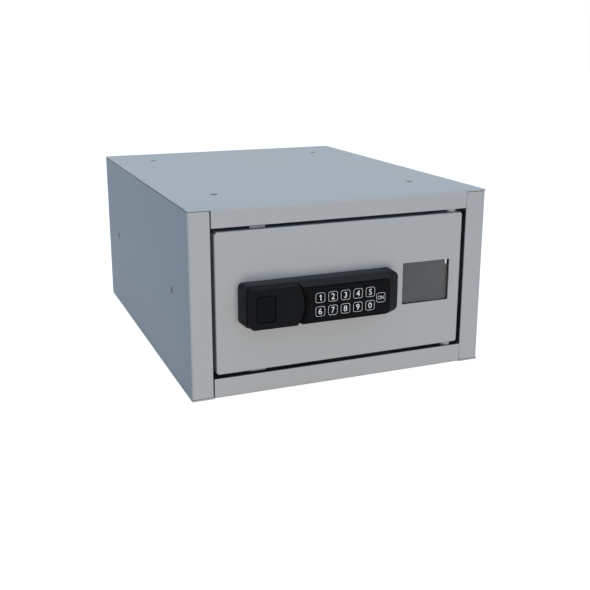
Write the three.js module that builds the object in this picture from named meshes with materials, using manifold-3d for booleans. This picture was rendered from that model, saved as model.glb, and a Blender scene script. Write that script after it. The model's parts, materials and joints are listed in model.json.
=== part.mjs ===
// In-cabinet safe: a folded steel cabinet with a flush door, a clear viewing window in the door,
// and an electronic lock whose turning knob throws one flat bolt up and one down behind the rails.
// Millimetres, +X right, +Y back, +Z up. The origin is the middle of the underside.

import * as THREE from "three";
import { mergeVertices } from "three/addons/utils/BufferGeometryUtils.js";
import Module from "manifold-3d";

const wasm = await Module();
wasm.setup();

// Cabinet
const CABINET_WIDTH = 305;
const CABINET_DEPTH = 387;
const CABINET_HEIGHT = 178.5;
const PANEL_THICKNESS = 1.5;
const PANEL_BEND_RADIUS = 2.5;
const PANEL_SEAM = 0.4;
const LEFT_STILE_WIDTH = 20.4;
const RIGHT_STILE_WIDTH = 21.2;
const TOP_RAIL_HEIGHT = 17.6;
const BOTTOM_RAIL_HEIGHT = 19.2;
const LEFT_RAIL_GAP = 1.2;
const RIGHT_RAIL_GAP = 0.3;
const BACK_FLANGE = 12;
const FIXING_HOLE_RADIUS = 3.6;
const FLAT_HOLE_FROM_SIDE = 46.5;
const FLAT_HOLE_FROM_FRONT = 71;
const FLAT_HOLE_FROM_BACK = 61;
const SIDE_HOLE_FROM_FRONT = 65;
const SIDE_HOLE_FROM_BACK = 63;

// Door
const DOOR_GAP = 3.6;
const HINGE_SIDE_GAP = 4.4;
const DOOR_THICKNESS = 1.5;
const DOOR_BEND_RADIUS = 1.6;
const DOOR_FLANGE = 18;
const PIVOT_FROM_DOOR_EDGE = 9.4;
const PIVOT_DEPTH = 7.5;
const PIN_RADIUS = 2.5;
const PIN_HEAD_RADIUS = 3.6;
const PIN_HEAD_HEIGHT = 2;
const PIN_REACH = 5;
const WASHER_RADIUS = 5;
const BRACKET_WIDTH = 20;
const BRACKET_THICKNESS = 1.5;
const BRACKET_HEIGHT = 13;
const BRACKET_REACH = 14;
const STOP_HEIGHT = 14;
const STOP_FROM_DOOR_END = 16;
const STOP_FOOT = 16;
const STOP_OVERLAP = 6;
const BUMPER_THICKNESS = 2;
const BUMPER_INSET = 1;
const BUMPER_CORNER = 1.5;

// Window in the door
const WINDOW_WIDTH = 52.1;
const WINDOW_HEIGHT = 41.9;
const WINDOW_CORNER = 1;
const WINDOW_FROM_DOOR_EDGE = 12.6;
const GASKET_MARGIN = 10;
const GASKET_THICKNESS = 0.8;
const GASKET_LIP = 0.3;
const GASKET_CORNER = 2;
const PANE_MARGIN = 3.5;
const PANE_CORNER = 1.5;
const PANE_THICKNESS = 2;
const RETAINER_THICKNESS = 1.2;
const STUD_MARGIN = 6.5;
const STUD_RADIUS = 1.7;
const NUT_RADIUS = 3.2;
const NUT_HEIGHT = 2.4;
const THREAD_PROUD = 1;

// Lock body on the door
const LOCK_LENGTH = 155.6;
const LOCK_HEIGHT = 39.4;
const LOCK_FROM_DOOR_EDGE = 21.1;
const LOCK_WINDOW_LEAST_GAP = 4;
const LOCK_BELOW_DOOR_MIDDLE = 0.45;
const LOCK_BASE_DEPTH = 16.5;
const LOCK_DEPTH = 27;
const LOCK_CORNER = 5;
const LOCK_DRAFT = 0.4;
const LOCK_WALL = 2.2;
const BACKPLATE_THICKNESS = 2;
const KEYPAD_TOP_INSET = 2.8;
const KEYPAD_BOTTOM_INSET = 1.7;
const KEYPAD_RIGHT_INSET = 13.9;
const KEYPAD_PLATE_THICKNESS = 1.5;
const KEYPAD_PLATE_RIM = 1.4;
const LOCK_SCREW_RADIUS = 1.5;
const LOCK_SCREW_HEAD_RADIUS = 3;
const LOCK_SCREW_HEAD = 2.4;
const LOCK_SCREW_GRIP = 8;
const LOCK_POST_RADIUS = 4.5;
const LOCK_SCREW_RISE = 12;
const LEFT_SCREWS_FROM_AXIS = 26.3;
const RIGHT_SCREW_FROM_END = 8;

// Keys
const KEY_SIZE = 9.7;
const KEY_CORNER = 2.2;
const KEY_PITCH = 12.65;
const KEY_ROW_PITCH = 13;
const KEY_COLUMNS = 5;
const KEY_TRAVEL = 0.8;
const KEY_PROUD = 0.4;
const KEY_FLANGE = 0.5;
const KEY_FLANGE_THICKNESS = 0.8;
const KEYS_BELOW_LOCK_MIDDLE = 1;
const FIRST_KEY_FROM_LOCK_END = 69.9;
const ON_KEY_FROM_LAST_COLUMN = 11;

// Knob and spindle
const KNOB_AXIS_FROM_LOCK_END = 24.6;
const KNOB_ARC_RADIUS = 30.6;
const KNOB_HALF_HEIGHT = 19.1;
const KNOB_TAIL = 22.1;
const KNOB_CORNER = 4.5;
const KNOB_LIFT = 1;
const KNOB_WALL = 2.5;
const KNOB_EDGE = 0.7;
const KNOB_WELL_GAP = 2.8;
const KNOB_HUB_RADIUS = 8;
const INSERT_WIDTH = 18.6;
const INSERT_HEIGHT = 25.2;
const INSERT_CORNER = 3;
const INSERT_THICKNESS = 1.3;
const INSERT_GAP = 0.9;
const INSERT_FROM_AXIS = 6.8;
const SPINDLE_RADIUS = 4;
const SPINDLE_HOLE_GAP = 2;
const SPINDLE_COLLAR_RADIUS = 7.5;
const SPINDLE_COLLAR_HEIGHT = 6;
const BUSH_RADIUS = 9.2;
const BUSH_FLANGE_RADIUS = 11.5;
const BUSH_FLANGE_THICKNESS = 1.8;

// Electronics in the lock body
const BOARD_THICKNESS = 1.6;
const MAT_THICKNESS = 2.2;
const LEDGE_WIDTH = 1.2;
const BATTERY_RADIUS = 5.25;
const BATTERY_LENGTH = 44.5;
const BATTERY_PITCH = 11.2;
const TERMINAL_RADIUS = 1.8;
const TERMINAL_HEIGHT = 1;
const TRAY_WALL = 1.2;
const TRAY_DEPTH = 7;
const TRAY_FROM_WELL = 6;
const MOTOR_RADIUS = 5;
const MOTOR_LENGTH = 20;
const MOTOR_PIN_RADIUS = 1.2;
const MOTOR_PIN_LENGTH = 5;

// Bolt work inside the door
const BOLT_WIDTH = 15;
const BOLT_THICKNESS = 3;
const BOLT_DEPTH = 4;
const BOLT_FROM_AXIS = -3.7;
const BOLT_TIP_GAP = 1.2;
const GEAR_TEETH = 12;
const GEAR_MODULE = 1.1;
const GEAR_BACKLASH = 0.5;
const PRESSURE_ANGLE = Math.PI / 9;
const TOOTH_TIP_PER_MODULE = 0.8;
const TOOTH_ROOT_PER_MODULE = 1.15;
const RACK_BACK = 3.5;
const RACK_LINK = 8;
const RACK_LINK_GAP = 2;
const RACK_SPARE_TEETH = 2;
const GUIDE_WALL = 1.5;
const GUIDE_HEIGHT = 12;
const GUIDE_FROM_FLANGE = 2;
const SPINDLE_NUT_RADIUS = 6.5;
const SPINDLE_NUT_HEIGHT = 3;
const COVER_THICKNESS = 1.2;
const COVER_DEPTH = 15;
const COVER_MARGIN = 3;
const COVER_CORNER = 3;
const COVER_TAB = 9;
const COVER_TAB_HALF_HEIGHT = 6;

// Clearances
const FIT_GAP = 0.3;
const SLIDE_GAP = 0.4;

// How far a cutter runs past the face it cuts, and how far a joined piece sinks into its neighbour
const OVERCUT = 1;
const OVERLAP = 0.5;

// Facets
const BEND_STEPS = 5;
const CORNER_STEPS = 5;
const ARC_STEPS = 14;
const KNOB_EDGE_STEPS = 3;
const HOLE_SIDES = 24;
const PIN_SIDES = 32;
const NUT_SIDES = 6;

// Worked-out places
const LEFT = -CABINET_WIDTH / 2;
const RIGHT = CABINET_WIDTH / 2;
const FRONT = -CABINET_DEPTH / 2;
const BACK = CABINET_DEPTH / 2;
const DOOR_LEFT = LEFT + LEFT_STILE_WIDTH + DOOR_GAP;
const DOOR_RIGHT = RIGHT - RIGHT_STILE_WIDTH - HINGE_SIDE_GAP;
const TOP_RAIL_EDGE = CABINET_HEIGHT - TOP_RAIL_HEIGHT;
const BOTTOM_RAIL_EDGE = BOTTOM_RAIL_HEIGHT;
const DOOR_TOP = TOP_RAIL_EDGE - DOOR_GAP;
const DOOR_BOTTOM = BOTTOM_RAIL_EDGE + DOOR_GAP;
const DOOR_MIDDLE = (DOOR_TOP + DOOR_BOTTOM) / 2;
const SIDE_MIDDLE = CABINET_HEIGHT / 2;
const PIVOT_X = DOOR_RIGHT - PIVOT_FROM_DOOR_EDGE;
const PIVOT_Y = FRONT + PIVOT_DEPTH;
const SKIN_BACK = FRONT + DOOR_THICKNESS;
const FLANGE_END = FRONT + DOOR_FLANGE;
const WINDOW_RIGHT = DOOR_RIGHT - WINDOW_FROM_DOOR_EDGE;
const WINDOW_LEFT = WINDOW_RIGHT - WINDOW_WIDTH;
// The lock moves nearer to the door's edge where it would otherwise reach the window.
const LOCK_LEFT = Math.min(
  DOOR_LEFT + LOCK_FROM_DOOR_EDGE,
  WINDOW_LEFT - LOCK_WINDOW_LEAST_GAP - LOCK_LENGTH,
);
const LOCK_RIGHT = LOCK_LEFT + LOCK_LENGTH;
const LOCK_MIDDLE = DOOR_MIDDLE - LOCK_BELOW_DOOR_MIDDLE;
const LOCK_BOTTOM = LOCK_MIDDLE - LOCK_HEIGHT / 2;
const LOCK_TOP = LOCK_MIDDLE + LOCK_HEIGHT / 2;
const KNOB_X = LOCK_LEFT + KNOB_AXIS_FROM_LOCK_END;
const WELL_RADIUS = KNOB_ARC_RADIUS + KNOB_WELL_GAP;
const FACE_RIGHT = LOCK_RIGHT - KEYPAD_RIGHT_INSET;
const FACE_BOTTOM = LOCK_BOTTOM + KEYPAD_BOTTOM_INSET;
const FACE_TOP = LOCK_TOP - KEYPAD_TOP_INSET;
const GEAR_RADIUS = (GEAR_TEETH * GEAR_MODULE) / 2;
const GEAR_PITCH = Math.PI * GEAR_MODULE;
const TOOTH_TIP = TOOTH_TIP_PER_MODULE * GEAR_MODULE;
const TOOTH_ROOT = TOOTH_ROOT_PER_MODULE * GEAR_MODULE;
const TOOTH_HALF = (GEAR_PITCH / 2 - GEAR_BACKLASH) / 2;
const BOLT_THROW = (Math.PI / 2) * GEAR_RADIUS;
const RACK_END = BOLT_THROW + (RACK_SPARE_TEETH + 0.5) * GEAR_PITCH;
const LINK_START = RACK_END + RACK_LINK_GAP;
const COVER_HALF_HEIGHT = LINK_START + RACK_LINK + BOLT_THROW + COVER_MARGIN;
const BOLT_X = KNOB_X + BOLT_FROM_AXIS;
const BOLT_FRONT = FRONT + BOLT_DEPTH;
const BOLT_BACK = BOLT_FRONT + BOLT_THICKNESS;

// The y of a plane this far out in front of the door.
function out(distance) {
  return FRONT - distance;
}

// Outlines

function point(a, b) {
  return new THREE.Vector2(a, b);
}

function arcPoints(centreA, centreB, radius, startAngle, endAngle, steps) {
  const points = [];
  for (let i = 0; i <= steps; i += 1) {
    const angle = startAngle + ((endAngle - startAngle) * i) / steps;
    points.push(point(centreA + radius * Math.cos(angle), centreB + radius * Math.sin(angle)));
  }
  return points;
}

function rectangle(a0, a1, b0, b1) {
  return [point(a0, b0), point(a1, b0), point(a1, b1), point(a0, b1)];
}

function roundedRectangle(a0, a1, b0, b1, radius, steps = CORNER_STEPS) {
  const quarter = Math.PI / 2;
  const corners = [
    [a0 + radius, b0 + radius, 2 * quarter],
    [a1 - radius, b0 + radius, 3 * quarter],
    [a1 - radius, b1 - radius, 0],
    [a0 + radius, b1 - radius, quarter],
  ];
  return corners.flatMap(([a, b, start]) => arcPoints(a, b, radius, start, start + quarter, steps));
}

function circle(a, b, radius, sides = HOLE_SIDES) {
  const points = arcPoints(a, b, radius, 0, 2 * Math.PI, sides);
  points.pop();
  return points;
}

// The section of a folded sheet. The corners run along its outer face, which always turns left,
// and the thickness lies to the left.
function sheetSection(corners, thickness, bendRadius) {
  const outer = [];
  const inner = [];
  const last = corners.length - 1;
  const direction = (i) => corners[i + 1].clone().sub(corners[i]).normalize();
  const leftOf = (d) => point(-d.y, d.x);
  outer.push(corners[0].clone());
  inner.push(corners[0].clone().addScaledVector(leftOf(direction(0)), thickness));
  for (let i = 1; i < last; i += 1) {
    const arriving = direction(i - 1);
    const leaving = direction(i);
    const centre = corners[i]
      .clone()
      .addScaledVector(arriving, -bendRadius)
      .addScaledVector(leaving, bendRadius);
    for (let step = 0; step <= BEND_STEPS; step += 1) {
      const angle = ((Math.PI / 2) * step) / BEND_STEPS;
      const spoke = leaving.clone().multiplyScalar(-Math.cos(angle));
      spoke.addScaledVector(arriving, Math.sin(angle));
      outer.push(centre.clone().addScaledVector(spoke, bendRadius));
      inner.push(centre.clone().addScaledVector(spoke, bendRadius - thickness));
    }
  }
  outer.push(corners[last].clone());
  inner.push(corners[last].clone().addScaledVector(leftOf(direction(last - 1)), thickness));
  return [...outer, ...inner.reverse()];
}

// Solids

function solidOf(geometry) {
  const bare = geometry.index ? geometry.toNonIndexed() : geometry.clone();
  bare.deleteAttribute("normal");
  bare.deleteAttribute("uv");
  const merged = mergeVertices(bare, 1e-4);
  return new wasm.Manifold(
    new wasm.Mesh({
      numProp: 3,
      vertProperties: new Float32Array(merged.attributes.position.array),
      triVerts: new Uint32Array(merged.index.array),
    }),
  );
}

function joined(first, ...others) {
  return others.reduce((whole, piece) => whole.add(piece), first);
}

function cutBy(first, ...tools) {
  return tools.reduce((whole, tool) => whole.subtract(tool), first);
}

// An outline in x and y, pushed up along z.
function prismZ(outline, low, high) {
  const geometry = new THREE.ExtrudeGeometry(new THREE.Shape(outline), {
    depth: high - low,
    bevelEnabled: false,
  });
  geometry.translate(0, 0, low);
  return solidOf(geometry);
}

// An outline in x and z, pushed along y.
function prismY(outline, low, high) {
  const geometry = new THREE.ExtrudeGeometry(new THREE.Shape(outline), {
    depth: high - low,
    bevelEnabled: false,
  });
  geometry.rotateX(Math.PI / 2);
  geometry.translate(0, high, 0);
  return solidOf(geometry);
}

// An outline in y and z, pushed along x.
function prismX(outline, low, high) {
  const geometry = new THREE.ExtrudeGeometry(new THREE.Shape(outline), {
    depth: high - low,
    bevelEnabled: false,
  });
  const turn = new THREE.Matrix4().makeBasis(
    new THREE.Vector3(0, 1, 0),
    new THREE.Vector3(0, 0, 1),
    new THREE.Vector3(1, 0, 0),
  );
  geometry.applyMatrix4(turn);
  geometry.translate(low, 0, 0);
  return solidOf(geometry);
}

function block(x0, x1, y0, y1, z0, z1) {
  const geometry = new THREE.BoxGeometry(x1 - x0, y1 - y0, z1 - z0);
  geometry.translate((x0 + x1) / 2, (y0 + y1) / 2, (z0 + z1) / 2);
  return solidOf(geometry);
}

// A solid through convex outlines in x and z that have the same number of points, each
// at its own distance out from the door.
function loftOut(layers) {
  const count = layers[0].outline.length;
  const positions = [];
  const index = [];
  for (const layer of layers) {
    for (const p of layer.outline) positions.push(p.x, out(layer.distance), p.y);
  }
  for (let layer = 0; layer + 1 < layers.length; layer += 1) {
    for (let i = 0; i < count; i += 1) {
      const here = layer * count + i;
      const next = layer * count + ((i + 1) % count);
      index.push(here, next, next + count, here, next + count, here + count);
    }
  }
  const top = (layers.length - 1) * count;
  for (let i = 1; i + 1 < count; i += 1) {
    index.push(0, i + 1, i);
    index.push(top, top + i, top + i + 1);
  }
  const geometry = new THREE.BufferGeometry();
  geometry.setAttribute("position", new THREE.Float32BufferAttribute(positions, 3));
  geometry.setIndex(index);
  return solidOf(geometry);
}

function geometryOf(solid) {
  const mesh = solid.getMesh();
  const positions = new Float32Array(mesh.numVert * 3);
  for (let i = 0; i < mesh.numVert; i += 1) {
    const start = i * mesh.numProp;
    positions.set(mesh.vertProperties.subarray(start, start + 3), i * 3);
  }
  const geometry = new THREE.BufferGeometry();
  geometry.setAttribute("position", new THREE.BufferAttribute(positions, 3));
  geometry.setIndex(new THREE.BufferAttribute(new Uint32Array(mesh.triVerts), 1));
  const faceted = geometry.toNonIndexed();
  faceted.computeVertexNormals();
  return faceted;
}

// Finishes

function finish(name, color, roughness, metalness) {
  const material = new THREE.MeshStandardMaterial({ color, roughness, metalness });
  material.name = name;
  return material;
}

const finishes = {
  paint: finish("grey_paint", 0xb0b4b7, 0.55, 0.1),
  zinc: finish("zinc_plate", 0xb9bcc0, 0.35, 0.9),
  nylon: finish("grey_nylon", 0xaaacae, 0.6, 0),
  rubber: finish("black_rubber", 0x1a1a1b, 0.9, 0),
  housing: finish("black_plastic", 0x2a2c2e, 0.55, 0),
  face: finish("keypad_black", 0x1b1c1e, 0.45, 0),
  clear: finish("clear_pane", 0xe8eef0, 0.08, 0),
  board: finish("circuit_board", 0x1f5a35, 0.5, 0),
  mat: finish("silicone_mat", 0x8a8c8c, 0.8, 0),
  battery: finish("battery_sleeve", 0x3d4a63, 0.4, 0.2),
  motor: finish("motor_case", 0x9a9c9e, 0.35, 0.9),
};
finishes.clear.transparent = true;
finishes.clear.opacity = 0.35;

const safe = new THREE.Group();

function place(group, name, solid, material) {
  const mesh = new THREE.Mesh(geometryOf(solid), material);
  mesh.name = name;
  group.add(mesh);
}

// Cabinet panels

// A flat panel over the whole plan, with its front edge folded over into a rail between the stiles.
function coverPanel(sectionCorners, plateLow, plateHigh) {
  const section = sheetSection(sectionCorners, PANEL_THICKNESS, PANEL_BEND_RADIUS);
  const railLeft = LEFT + LEFT_STILE_WIDTH + LEFT_RAIL_GAP;
  const railRight = RIGHT - RIGHT_STILE_WIDTH - RIGHT_RAIL_GAP;
  const folded = prismX(section, railLeft, railRight);
  const overlap = PANEL_THICKNESS;
  const leftWing = block(LEFT, railLeft + overlap, FRONT, BACK, plateLow, plateHigh);
  const rightWing = block(railRight - overlap, RIGHT, FRONT, BACK, plateLow, plateHigh);
  const bendEnd = FRONT + PANEL_BEND_RADIUS;
  const wings = cutBy(
    joined(leftWing, rightWing),
    block(railLeft, railLeft + overlap, FRONT, bendEnd, plateLow, plateHigh),
    block(railRight - overlap, railRight, FRONT, bendEnd, plateLow, plateHigh),
  );
  const holes = [FRONT + FLAT_HOLE_FROM_FRONT, BACK - FLAT_HOLE_FROM_BACK].flatMap((y) =>
    [LEFT + FLAT_HOLE_FROM_SIDE, RIGHT - FLAT_HOLE_FROM_SIDE].map((x) =>
      prismZ(circle(x, y, FIXING_HOLE_RADIUS), plateLow - OVERCUT, plateHigh + OVERCUT),
    ),
  );
  return cutBy(joined(folded, wings), ...holes);
}

function topPanel() {
  const corners = [
    point(BACK, CABINET_HEIGHT),
    point(FRONT, CABINET_HEIGHT),
    point(FRONT, TOP_RAIL_EDGE),
  ];
  return coverPanel(corners, CABINET_HEIGHT - PANEL_THICKNESS, CABINET_HEIGHT);
}

function bottomPanel() {
  const corners = [point(FRONT, BOTTOM_RAIL_EDGE), point(FRONT, 0), point(BACK, 0)];
  return coverPanel(corners, 0, PANEL_THICKNESS);
}

function sidePanel(corners, inner, outer) {
  const low = PANEL_THICKNESS + PANEL_SEAM;
  const high = CABINET_HEIGHT - PANEL_THICKNESS - PANEL_SEAM;
  const section = sheetSection(corners, PANEL_THICKNESS, PANEL_BEND_RADIUS);
  const holes = [FRONT + SIDE_HOLE_FROM_FRONT, BACK - SIDE_HOLE_FROM_BACK].map((y) =>
    prismX(circle(y, SIDE_MIDDLE, FIXING_HOLE_RADIUS), inner - OVERCUT, outer + OVERCUT),
  );
  return cutBy(prismZ(section, low, high), ...holes);
}

function leftSidePanel() {
  const corners = [point(LEFT, BACK), point(LEFT, FRONT), point(LEFT + LEFT_STILE_WIDTH, FRONT)];
  return sidePanel(corners, LEFT, LEFT + PANEL_THICKNESS);
}

function rightSidePanel() {
  const corners = [point(RIGHT - RIGHT_STILE_WIDTH, FRONT), point(RIGHT, FRONT), point(RIGHT, BACK)];
  return sidePanel(corners, RIGHT - PANEL_THICKNESS, RIGHT);
}

// A sheet with all four edges folded the same way, its corners cut back so that the folds clear.
function foldedPan(acrossCorners, upCorners, x0, x1, z0, z1, thickness, bendRadius) {
  const across = sheetSection(acrossCorners, thickness, bendRadius);
  const up = sheetSection(upCorners, thickness, bendRadius);
  return joined(
    prismZ(across, z0 + bendRadius, z1 - bendRadius),
    prismX(up, x0 + bendRadius, x1 - bendRadius),
  );
}

function backPanel() {
  const x0 = LEFT + PANEL_THICKNESS + PANEL_SEAM;
  const x1 = RIGHT - PANEL_THICKNESS - PANEL_SEAM;
  const z0 = PANEL_THICKNESS + PANEL_SEAM;
  const z1 = CABINET_HEIGHT - PANEL_THICKNESS - PANEL_SEAM;
  const flangeEnd = BACK - BACK_FLANGE;
  const across = [point(x1, flangeEnd), point(x1, BACK), point(x0, BACK), point(x0, flangeEnd)];
  const up = [point(flangeEnd, z0), point(BACK, z0), point(BACK, z1), point(flangeEnd, z1)];
  return foldedPan(across, up, x0, x1, z0, z1, PANEL_THICKNESS, PANEL_BEND_RADIUS);
}

// Hinge: a pin through a bracket behind each rail and through the door's folded edge.

// side is 1 at the top rail and -1 at the bottom one, so heights count away from the door.
function pivotHeights(side) {
  const doorEdge = side > 0 ? DOOR_TOP : DOOR_BOTTOM;
  const railEdge = side > 0 ? TOP_RAIL_EDGE : BOTTOM_RAIL_EDGE;
  const bracketFoot = railEdge + side * FIT_GAP;
  const bracketSeat = bracketFoot + side * BRACKET_THICKNESS;
  return { doorEdge, bracketFoot, bracketSeat };
}

function between(a, b, make) {
  return make(Math.min(a, b), Math.max(a, b));
}

function pivotBracket(side) {
  const { bracketFoot, bracketSeat } = pivotHeights(side);
  const legFront = FRONT + PANEL_THICKNESS + FIT_GAP;
  const legBack = legFront + BRACKET_THICKNESS;
  const x0 = PIVOT_X - BRACKET_WIDTH / 2;
  const x1 = PIVOT_X + BRACKET_WIDTH / 2;
  const leg = between(bracketFoot, bracketFoot + side * BRACKET_HEIGHT, (low, high) =>
    block(x0, x1, legFront, legBack, low, high),
  );
  const shelf = between(bracketFoot, bracketSeat, (low, high) =>
    block(x0, x1, legFront, legFront + BRACKET_REACH, low, high),
  );
  const hole = between(bracketFoot - side * OVERCUT, bracketSeat + side * OVERCUT, (low, high) =>
    prismZ(circle(PIVOT_X, PIVOT_Y, PIN_RADIUS + FIT_GAP, PIN_SIDES), low, high),
  );
  return cutBy(joined(leg, shelf), hole);
}

function hingePin(side) {
  const { doorEdge, bracketSeat } = pivotHeights(side);
  const headSeat = bracketSeat + side * FIT_GAP;
  const tip = doorEdge - side * PIN_REACH;
  const shank = between(tip, headSeat + side * OVERLAP, (low, high) =>
    prismZ(circle(PIVOT_X, PIVOT_Y, PIN_RADIUS, PIN_SIDES), low, high),
  );
  const head = between(headSeat, headSeat + side * PIN_HEAD_HEIGHT, (low, high) =>
    prismZ(circle(PIVOT_X, PIVOT_Y, PIN_HEAD_RADIUS, PIN_SIDES), low, high),
  );
  return joined(shank, head);
}

function hingeWasher(side) {
  const { doorEdge, bracketFoot } = pivotHeights(side);
  return between(doorEdge + side * FIT_GAP, bracketFoot - side * FIT_GAP, (low, high) =>
    cutBy(
      prismZ(circle(PIVOT_X, PIVOT_Y, WASHER_RADIUS, PIN_SIDES), low, high),
      prismZ(circle(PIVOT_X, PIVOT_Y, PIN_RADIUS + FIT_GAP, PIN_SIDES), low - OVERCUT, high + OVERCUT),
    ),
  );
}

// Door stops: angle tabs on the left side panel that the door's folded edge closes against.

const STOP_FACE = FLANGE_END + FIT_GAP + BUMPER_THICKNESS;
const STOP_REACH = DOOR_LEFT + STOP_OVERLAP;

function stopMiddle(side) {
  return side > 0 ? DOOR_TOP - STOP_FROM_DOOR_END : DOOR_BOTTOM + STOP_FROM_DOOR_END;
}

function doorStop(side) {
  const low = stopMiddle(side) - STOP_HEIGHT / 2;
  const wallFace = LEFT + PANEL_THICKNESS + FIT_GAP;
  const legFront = STOP_FACE + FIT_GAP;
  const legBack = legFront + PANEL_THICKNESS;
  const corners = [point(STOP_REACH, legBack), point(wallFace, legBack)];
  const leg = block(corners[1].x, corners[0].x, legFront, legBack, low, low + STOP_HEIGHT);
  const foot = block(
    wallFace,
    wallFace + PANEL_THICKNESS,
    legFront,
    legFront + STOP_FOOT,
    low,
    low + STOP_HEIGHT,
  );
  return joined(leg, foot);
}

function stopBumper(side) {
  const middle = stopMiddle(side);
  const half = STOP_HEIGHT / 2 - BUMPER_INSET;
  const outline = roundedRectangle(
    DOOR_LEFT - BUMPER_INSET,
    STOP_REACH - BUMPER_INSET,
    middle - half,
    middle + half,
    BUMPER_CORNER,
  );
  return prismY(outline, STOP_FACE - BUMPER_THICKNESS, STOP_FACE);
}

// Door

function windowBox(margin) {
  return {
    x0: WINDOW_LEFT - margin,
    x1: WINDOW_RIGHT + margin,
    z0: DOOR_MIDDLE - WINDOW_HEIGHT / 2 - margin,
    z1: DOOR_MIDDLE + WINDOW_HEIGHT / 2 + margin,
  };
}

function windowOutline(margin, corner) {
  const { x0, x1, z0, z1 } = windowBox(margin);
  return roundedRectangle(x0, x1, z0, z1, corner);
}

function windowStuds() {
  const { x0, x1, z0, z1 } = windowBox(STUD_MARGIN);
  return [
    { name: "lower_left", x: x0, z: z0 },
    { name: "lower_right", x: x1, z: z0 },
    { name: "upper_left", x: x0, z: z1 },
    { name: "upper_right", x: x1, z: z1 },
  ];
}

// Where each layer behind the window starts and ends, from the back of the door's skin.
const GASKET_FRONT = SKIN_BACK;
const GASKET_BACK = GASKET_FRONT + GASKET_THICKNESS;
const PANE_FRONT = GASKET_BACK + FIT_GAP;
const PANE_BACK = PANE_FRONT + PANE_THICKNESS;
const RETAINER_FRONT = PANE_BACK + FIT_GAP;
const RETAINER_BACK = RETAINER_FRONT + RETAINER_THICKNESS;
const STUD_END = RETAINER_BACK + NUT_HEIGHT + THREAD_PROUD;
const COVER_STUD_END = SKIN_BACK + COVER_THICKNESS + NUT_HEIGHT + THREAD_PROUD;

const coverStuds = [
  { name: "left", x: coverSides().x0 - COVER_TAB / 2, z: LOCK_MIDDLE },
  { name: "right", x: coverSides().x1 + COVER_TAB / 2, z: LOCK_MIDDLE },
];

const lockScrews = [
  { name: "upper", x: KNOB_X + LEFT_SCREWS_FROM_AXIS, z: LOCK_MIDDLE + LOCK_SCREW_RISE },
  { name: "lower", x: KNOB_X + LEFT_SCREWS_FROM_AXIS, z: LOCK_MIDDLE - LOCK_SCREW_RISE },
  { name: "right", x: rightScrewX(), z: LOCK_MIDDLE },
];

// The right screw keeps its distance from the lock's end, and its head stays clear of the gasket.
function rightScrewX() {
  const besideGasket = windowBox(GASKET_MARGIN).x0 - FIT_GAP - LOCK_SCREW_HEAD_RADIUS;
  return Math.min(LOCK_RIGHT - RIGHT_SCREW_FROM_END, besideGasket);
}

function doorPan() {
  const across = [
    point(DOOR_LEFT, FLANGE_END),
    point(DOOR_LEFT, FRONT),
    point(DOOR_RIGHT, FRONT),
    point(DOOR_RIGHT, FLANGE_END),
  ];
  const up = [
    point(FLANGE_END, DOOR_TOP),
    point(FRONT, DOOR_TOP),
    point(FRONT, DOOR_BOTTOM),
    point(FLANGE_END, DOOR_BOTTOM),
  ];
  const pan = foldedPan(
    across,
    up,
    DOOR_LEFT,
    DOOR_RIGHT,
    DOOR_BOTTOM,
    DOOR_TOP,
    DOOR_THICKNESS,
    DOOR_BEND_RADIUS,
  );
  const studs = [
    ...windowStuds().map((s) => prismY(circle(s.x, s.z, STUD_RADIUS), SKIN_BACK - OVERLAP, STUD_END)),
    ...coverStuds.map((s) =>
      prismY(circle(s.x, s.z, STUD_RADIUS), SKIN_BACK - OVERLAP, COVER_STUD_END),
    ),
  ];
  const skinHole = (outline) => prismY(outline, FRONT - OVERCUT, SKIN_BACK + OVERCUT);
  const boltSlot = block(
    BOLT_X - BOLT_WIDTH / 2 - SLIDE_GAP,
    BOLT_X + BOLT_WIDTH / 2 + SLIDE_GAP,
    BOLT_FRONT - SLIDE_GAP,
    BOLT_BACK + SLIDE_GAP,
    DOOR_BOTTOM - OVERCUT,
    DOOR_TOP + OVERCUT,
  );
  const pinHole = prismZ(
    circle(PIVOT_X, PIVOT_Y, PIN_RADIUS + FIT_GAP, PIN_SIDES),
    DOOR_BOTTOM - OVERCUT,
    DOOR_TOP + OVERCUT,
  );
  return cutBy(
    joined(pan, ...studs),
    skinHole(windowOutline(0, WINDOW_CORNER)),
    skinHole(circle(KNOB_X, LOCK_MIDDLE, SPINDLE_RADIUS + SPINDLE_HOLE_GAP)),
    ...lockScrews.map((s) => skinHole(circle(s.x, s.z, LOCK_SCREW_RADIUS + FIT_GAP))),
    boltSlot,
    pinHole,
  );
}

function windowRing(low, high) {
  const outer = prismY(windowOutline(GASKET_MARGIN, GASKET_CORNER), low, high);
  const inner = prismY(windowOutline(-GASKET_LIP, WINDOW_CORNER), low - OVERCUT, high + OVERCUT);
  const holes = windowStuds().map((s) =>
    prismY(circle(s.x, s.z, STUD_RADIUS + FIT_GAP), low - OVERCUT, high + OVERCUT),
  );
  return cutBy(outer, inner, ...holes);
}

function windowPane() {
  return prismY(windowOutline(PANE_MARGIN, PANE_CORNER), PANE_FRONT, PANE_BACK);
}

function nutOn(stud, seat, radius, height, holeRadius) {
  return cutBy(
    prismY(circle(stud.x, stud.z, radius, NUT_SIDES), seat, seat + height),
    prismY(circle(stud.x, stud.z, holeRadius + FIT_GAP), seat - OVERCUT, seat + height + OVERCUT),
  );
}

// Bolt work

// Half the thickness of a tooth at this height over its pitch line.
function toothHalf(height) {
  return TOOTH_HALF - height * Math.tan(PRESSURE_ANGLE);
}

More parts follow.
